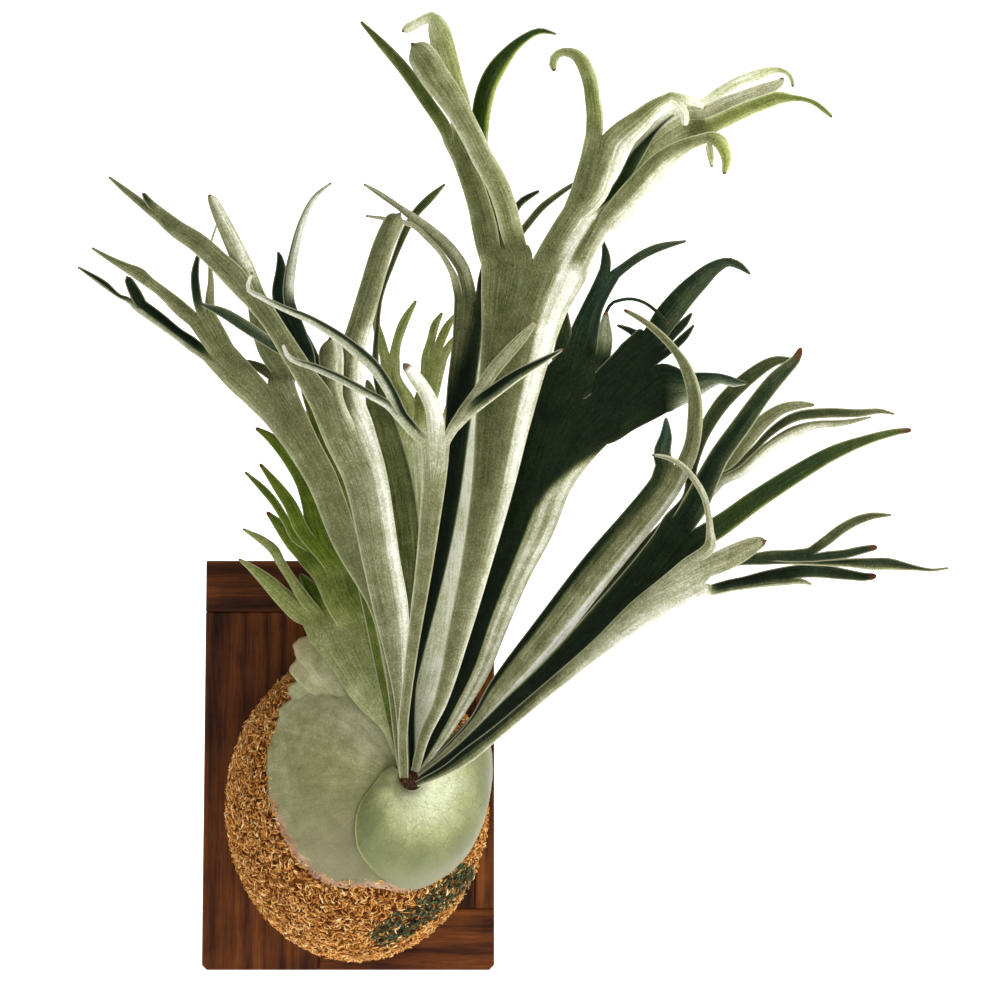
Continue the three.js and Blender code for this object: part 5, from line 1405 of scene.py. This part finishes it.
def strand_paths(random, spots, normals):
    """The knots of a curled strand on the ball at each spot, and how high the strand lies."""
    count = len(spots)
    first = unit(np.cross(normals, [0.31, 0.17, 0.94]))
    second = np.cross(normals, first)
    length = random.uniform(*STRAND_LENGTH, count)
    combed = np.array([noise.noise(Vector(spot / COMBED_LENGTH)) for spot in spots])
    heading = combed * 5 + random.normal(0, 0.9, count) + math.pi * random.integers(0, 2, count)
    curl = random.normal(0, 1, count) * STRAND_CURL
    height = random.uniform(*STRAND_HEIGHT, count)
    arch = random.uniform(*STRAND_ARCH, count)
    lean = random.uniform(*STRAND_LEAN, count)
    stride = length[:, None] / (STRAND_KNOTS - 1)
    angles = heading[:, None] + curl[:, None] * stride * np.arange(1, STRAND_KNOTS)
    strides = np.stack([np.cos(angles), np.sin(angles)], axis=2) * stride[..., None]
    flat = np.concatenate([np.zeros((count, 1, 2)), np.cumsum(strides, axis=1)], axis=1)
    flat -= flat.mean(axis=1, keepdims=True)
    points = spots[:, None] + first[:, None] * flat[..., :1] + second[:, None] * flat[..., 1:]
    points = MOUND_CENTRE + unit((points - MOUND_CENTRE) / MOUND_RADII) * MOUND_RADII
    share = np.linspace(0, 1, STRAND_KNOTS)
    rise = height[:, None] + arch[:, None] * (1 - (2 * share - 1) ** 2) + lean[:, None] * share**2
    return points + normals[:, None] * rise[..., None], height


def strand_tubes(paths, normals, radius):
    """Points and faces of a closed tube along each path, which tapers to its end."""
    tangents = unit(np.gradient(paths, axis=1))
    aside = unit(np.cross(tangents, normals[:, None]))
    upward = np.cross(aside, tangents)
    share = np.linspace(0, 1, STRAND_KNOTS)
    taper = (1 - 0.9 * share**2.5) * (0.55 + 0.45 * np.minimum(share * 4, 1))
    reach = (radius[:, None] * taper)[..., None]
    angles = [2 * math.pi * side / STRAND_SIDES for side in range(STRAND_SIDES)]
    points = np.stack([paths + (aside * math.cos(angle) + upward * math.sin(angle)) * reach
                       for angle in angles], axis=2)
    pattern = []
    for ring in range(0, (STRAND_KNOTS - 1) * STRAND_SIDES, STRAND_SIDES):
        for side in range(STRAND_SIDES):
            a, b = ring + side, ring + (side + 1) % STRAND_SIDES
            pattern.append((a, b, b + STRAND_SIDES, a + STRAND_SIDES))
    corners = range(STRAND_KNOTS * STRAND_SIDES)
    pattern += [tuple(reversed(corners[:STRAND_SIDES])), tuple(corners[-STRAND_SIDES:])]
    faces = [tuple(strand * len(corners) + corner for corner in face)
             for strand in range(len(paths)) for face in pattern]
    return points.reshape(-1, 3), faces


def build_strands(name, random, ways, material):
    """One layer of moss strands, a few of them alive."""
    count = len(ways)
    spots = MOUND_CENTRE + ways * MOUND_RADII
    normals = unit(ways / MOUND_RADII)
    paths, height = strand_paths(random, spots, normals)
    points, faces = strand_tubes(paths, normals, random.uniform(*STRAND_RADIUS, count))
    piece = mesh_piece(name, points, faces, material)
    # Strands that lie lower are a little darker: painted shade deep in the moss. The rest of the spread is
    # each strand's own tone.
    shade = np.clip(random.normal(0.56, 0.2, count) + height * 0.06, 0.05, 1)
    patch = near_line(viewed(spots), LIVE_MOSS, LIVE_MOSS_WIDTH)
    alive = random.uniform(0, 1, count) < patch * 0.8
    spread(piece.data, "shade", np.repeat(shade, STRAND_KNOTS * STRAND_SIDES))
    spread(piece.data, "alive", np.repeat(alive, STRAND_KNOTS * STRAND_SIDES))
    only(piece)
    bpy.ops.object.shade_smooth()


def build_ball(material):
    """The moss ball: a sphere shaped to the ball, cut flat at the board and roughened."""
    ball = primitive("moss_ball", bpy.ops.mesh.primitive_uv_sphere_add, (MOUND_RADII - CORE_INSET) * MM,
                     MOUND_CENTRE * MM, segments=160, ring_count=100, radius=1)
    bpy.ops.object.mode_set(mode="EDIT")
    bpy.ops.mesh.select_all(action="SELECT")
    bpy.ops.mesh.bisect(plane_co=(0, -BOARD_FRONT * MM, 0), plane_no=(0, 1, 0), use_fill=True,
                        clear_outer=True)
    bpy.ops.object.mode_set(mode="OBJECT")
    ball.data.materials.append(material)
    centre = Vector(MOUND_CENTRE * MM)
    for vertex in ball.data.vertices:
        place = vertex.co
        if place.y < -(BOARD_FRONT + 1) * MM:
            depth = 0.5 + sum(weight * noise.noise(place * fineness) for fineness, weight in PITS)
            vertex.co = place - (place - centre).normalized() * max(depth, 0) * PIT_DEPTH * MM
    count = len(ball.data.vertices)
    # The core is dark: partly the brown of the moss deep down, partly painted shade between the strands.
    spread(ball.data, "shade", np.full(count, 0.12))
    spread(ball.data, "alive", np.zeros(count))
    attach(ball, "root")
    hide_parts("moss_mound")
    bpy.ops.object.shade_smooth()


def build_crown(material, count, seed):
    """The rhizome's end: a knob covered with narrow scales that point away from it."""
    random = np.random.default_rng(seed)
    centre = seen(*CROWN_SEEN)
    radii = CROWN_RADII * CROWN_SHRUNK
    ways = unit(random.normal(0, 1, (count, 3)))
    crown = primitive("rhizome_crown_knob", bpy.ops.mesh.primitive_ico_sphere_add, radii * MM, centre * MM,
                      subdivisions=5, radius=1)
    crown.data.materials.append(material)
    spread(crown.data, "shade", np.full(len(crown.data.vertices), 0.25))
    bpy.ops.object.shade_smooth()
    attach(crown, "root")
    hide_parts("rhizome_crown")
    roots = centre + ways * (radii - 0.3)
    lean = unit(ways + random.normal(0, 0.5, (count, 3)) + np.array([0, -0.1, 0.5]))
    aside = unit(np.cross(lean, ways + 0.01))
    length = random.uniform(*SCALE_LENGTH, count)[:, None]
    width = random.uniform(*SCALE_WIDTH, count)[:, None]
    upper = np.cross(aside, lean) * 0.2
    corners = np.stack([roots - aside * width, roots + aside * width, roots + upper,
                        roots + lean * length], axis=1).reshape(-1, 3)
    faces = []
    for a in range(0, count * 4, 4):
        faces += [(a, a + 1, a + 3), (a + 1, a + 2, a + 3), (a + 2, a, a + 3), (a + 1, a, a + 2)]
    scales = mesh_piece("rhizome_crown_scales", corners, faces, material)
    spread(scales.data, "shade", np.repeat(random.uniform(0.2, 1, count), 4))


# ---- board ----------------------------------------------------------------------------------------------

def give_finish(node, material):
    """Puts a material on a CAD node without touching its mesh."""
    node.material_slots[0].link = "OBJECT"
    node.material_slots[0].material = material


def build_seam_shade(material):
    """A dark sheet in the seam under the top rail: painted shade in the gap."""
    (left, right), depths, (low, high) = SEAM_SHADE
    points = [np.array([x, y, z]) for y in depths for x, z in
              ((left, low), (right, low), (right, high), (left, high))]
    faces = [(0, 1, 2, 3), (7, 6, 5, 4), (0, 4, 5, 1), (1, 5, 6, 2), (2, 6, 7, 3), (3, 7, 4, 0)]
    piece = mesh_piece("seam_shade_sheet", points, faces, material)


# ---- stage ----------------------------------------------------------------------------------------------

def area_light(name, place, aim, side, power):
    """A square light that looks at a point."""
    bpy.ops.object.light_add(type="AREA", location=place)
    light = bpy.context.object
    light.name = name
    light.data.size = side
    light.data.energy = power
    light.rotation_euler = (Vector(aim) - Vector(place)).to_track_quat("-Z", "Y").to_euler()
    return light


def build_backdrop():
    """Floor and backdrop in one sweep: a plane, its back edge drawn up and rounded."""
    sweep = primitive("backdrop", bpy.ops.mesh.primitive_plane_add, (BACKDROP_WIDTH, BACKDROP_WIDTH, 1),
                      (0, WALL_BEHIND - BACKDROP_WIDTH / 2, FLOOR_HEIGHT), size=1)
    bpy.ops.object.mode_set(mode="EDIT")
    bpy.ops.mesh.select_mode(type="EDGE")
    bpy.ops.mesh.select_all(action="DESELECT")
    bpy.ops.object.mode_set(mode="OBJECT")
    for edge in sweep.data.edges:
        ends = [sweep.data.vertices[v].co.y for v in edge.vertices]
        edge.select = all(abs(end - WALL_BEHIND) < 1e-4 for end in ends)
    bpy.ops.object.mode_set(mode="EDIT")
    bpy.ops.mesh.extrude_region_move(TRANSFORM_OT_translate={"value": (0, 0, BACKDROP_HEIGHT)})
    bpy.ops.object.mode_set(mode="OBJECT")
    bend = sweep.modifiers.new("bend", "BEVEL")
    bend.width, bend.segments, bend.limit_method = BACKDROP_BEND, 12, "ANGLE"
    apply_modifiers(sweep)
    bpy.ops.object.shade_smooth()
    sweep.data.materials.append(backdrop_material())


def build_camera():
    """The eye from which the plant is traced."""
    bpy.ops.object.camera_add(location=EYE * MM, rotation=(math.pi / 2 + EYE_PITCH, 0, 0))
    camera = bpy.context.object
    camera.name = "front_camera"
    camera.data.sensor_width = SENSOR_WIDTH
    camera.data.lens = VIEW_FOCAL / VIEW_SIZE * SENSOR_WIDTH
    camera.data.clip_start, camera.data.clip_end = CAMERA_RANGE
    bpy.context.scene.camera = camera


# ---- operators ------------------------------------------------------------------------------------------

class LeafSettings(bpy.types.PropertyGroup):
    """Sizes shared by all the blades."""
    blade_thickness: FloatProperty(name="Blade thickness", default=0.0012, unit="LENGTH",
                                   description="Thickness of a blade away from its stalk")
    stalk_thickness: FloatProperty(name="Stalk thickness", description="Thickness of a blade at its root",
                                   default=0.0026, unit="LENGTH")
    row_distance: FloatProperty(name="Row distance", description="Distance between the rows along a strap",
                                default=0.006, unit="LENGTH")


class ShieldSettings(bpy.types.PropertyGroup):
    """How fine the shields on the moss ball are."""
    spokes: IntProperty(name="Spokes", description="Points along the margin of a shield", default=260)
    rings: IntProperty(name="Rings", description="Rows between the crown and the margin", default=70)


class MossSettings(bpy.types.PropertyGroup):
    """The strands on the moss ball."""
    strands: IntProperty(name="Strands", description="Strands in each of the two layers", default=10500)
    seed: IntProperty(name="Seed", description="Seed of the places and bends of the strands", default=11)


class CrownSettings(bpy.types.PropertyGroup):
    """The scales on the rhizome's end."""
    scales: IntProperty(name="Scales", description="Scales on the crown", default=1400)
    seed: IntProperty(name="Seed", description="Seed of the places of the scales", default=5)


class StageSettings(bpy.types.PropertyGroup):
    """Backdrop, lights and camera."""
    key_power: FloatProperty(name="Key light", description="Power of the large upper light", default=42,
                             unit="POWER")
    fill_power: FloatProperty(name="Fill light", description="Power of the light at the left", default=7,
                              unit="POWER")
    sky: FloatVectorProperty(name="Surroundings", description="Colour of the light from all sides",
                             default=(0.26, 0.26, 0.26), subtype="COLOR")


class FERN_OT_fronds(bpy.types.Operator):
    """Grow the fertile fronds and the two upper shield fronds"""
    bl_idname = "fern.fronds"
    bl_label = "Fronds"

    def execute(self, context):
        material = leaf_material()
        for name, limb in FRONDS.items():
            build_frond(name, limb, context.scene.fern_leaf, material)
        return {"FINISHED"}


class FERN_OT_shields(bpy.types.Operator):
    """Drape the two round shields over the moss ball"""
    bl_idname = "fern.shields"
    bl_label = "Round shields"

    def execute(self, context):
        fine = context.scene.fern_shield
        build_shield("shield_left", LEFT_SHIELD, left_shield_material(), fine.spokes, fine.rings)
        build_shield("shield_low_right", LOW_SHIELD, low_shield_material(), fine.spokes, fine.rings)
        return {"FINISHED"}


class FERN_OT_moss(bpy.types.Operator):
    """Shape the moss ball and strew its strands"""
    bl_idname = "fern.moss"
    bl_label = "Moss ball"

    def execute(self, context):
        settings = context.scene.fern_moss
        material = moss_material()
        build_ball(material)
        for layer in range(STRAND_LAYERS):
            random = np.random.default_rng(settings.seed + layer)
            seats = strand_seats(random, settings.strands)
            build_strands(f"moss_strands_{layer + 1}", random, seats, material)
        return {"FINISHED"}


class FERN_OT_crown(bpy.types.Operator):
    """Make the rhizome's end with its scales"""
    bl_idname = "fern.crown"
    bl_label = "Rhizome crown"

    def execute(self, context):
        settings = context.scene.fern_crown
        build_crown(crown_material(), settings.scales, settings.seed)
        return {"FINISHED"}


class FERN_OT_board(bpy.types.Operator):
    """Stain the planks of the board"""
    bl_idname = "fern.board"
    bl_label = "Board"

    def execute(self, context):
        for name, grain in PLANKS.items():
            give_finish(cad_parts[name], wood_material(f"stained_{name}", *grain))
        give_finish(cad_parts["backing_panel"], backing_material())
        # A dark sheet of painted shade in the seam under the top rail
        build_seam_shade(wood_material("seam_shade_sheet", *SEAM_SHADE_WOOD))
        return {"FINISHED"}


class FERN_OT_stage(bpy.types.Operator):
    """Set up the white backdrop, the lights and the camera"""
    bl_idname = "fern.stage"
    bl_label = "Stage"

    def execute(self, context):
        settings = context.scene.fern_stage
        world = bpy.data.worlds.new("surroundings")
        world.use_nodes = True
        sky = world.node_tree.nodes["Background"]
        sky.inputs["Color"].default_value = (*settings.sky, 1)
        context.scene.world = world
        build_backdrop()
        key = area_light("key_light", *KEY_LIGHT, settings.key_power)
        fill = area_light("fill_light", *FILL_LIGHT, settings.fill_power)
        build_camera()
        context.scene.view_settings.view_transform = "Standard"
        return {"FINISHED"}


class FERN_PT_panel(bpy.types.Panel):
    """Buttons and settings of the fern"""
    bl_label = "Mounted Staghorn Fern"
    bl_idname = "FERN_PT_panel"
    bl_space_type = "VIEW_3D"
    bl_region_type = "UI"
    bl_category = "Fern"

    def draw(self, context):
        for group in SETTINGS:
            box = self.layout.box()
            for setting in getattr(context.scene, group).__annotations__:
                box.prop(getattr(context.scene, group), setting)
        for operator in OPERATORS:
            self.layout.operator(operator.bl_idname)


OPERATORS = (FERN_OT_fronds, FERN_OT_shields, FERN_OT_moss, FERN_OT_crown, FERN_OT_board, FERN_OT_stage)
SETTINGS = {
    "fern_leaf": LeafSettings,
    "fern_shield": ShieldSettings,
    "fern_moss": MossSettings,
    "fern_crown": CrownSettings,
    "fern_stage": StageSettings,
}
CLASSES = (*SETTINGS.values(), *OPERATORS, FERN_PT_panel)


def register():
    for cls in CLASSES:
        bpy.utils.register_class(cls)
    for name, group in SETTINGS.items():
        setattr(bpy.types.Scene, name, PointerProperty(type=group))


def unregister():
    for name in SETTINGS:
        delattr(bpy.types.Scene, name)
    for cls in reversed(CLASSES):
        bpy.utils.unregister_class(cls)


def main():
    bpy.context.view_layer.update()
    register()
    bpy.ops.fern.board()
    bpy.ops.fern.moss()
    bpy.ops.fern.shields()
    bpy.ops.fern.crown()
    bpy.ops.fern.fronds()
    bpy.ops.fern.stage()


if __name__ == "__main__":
    main()
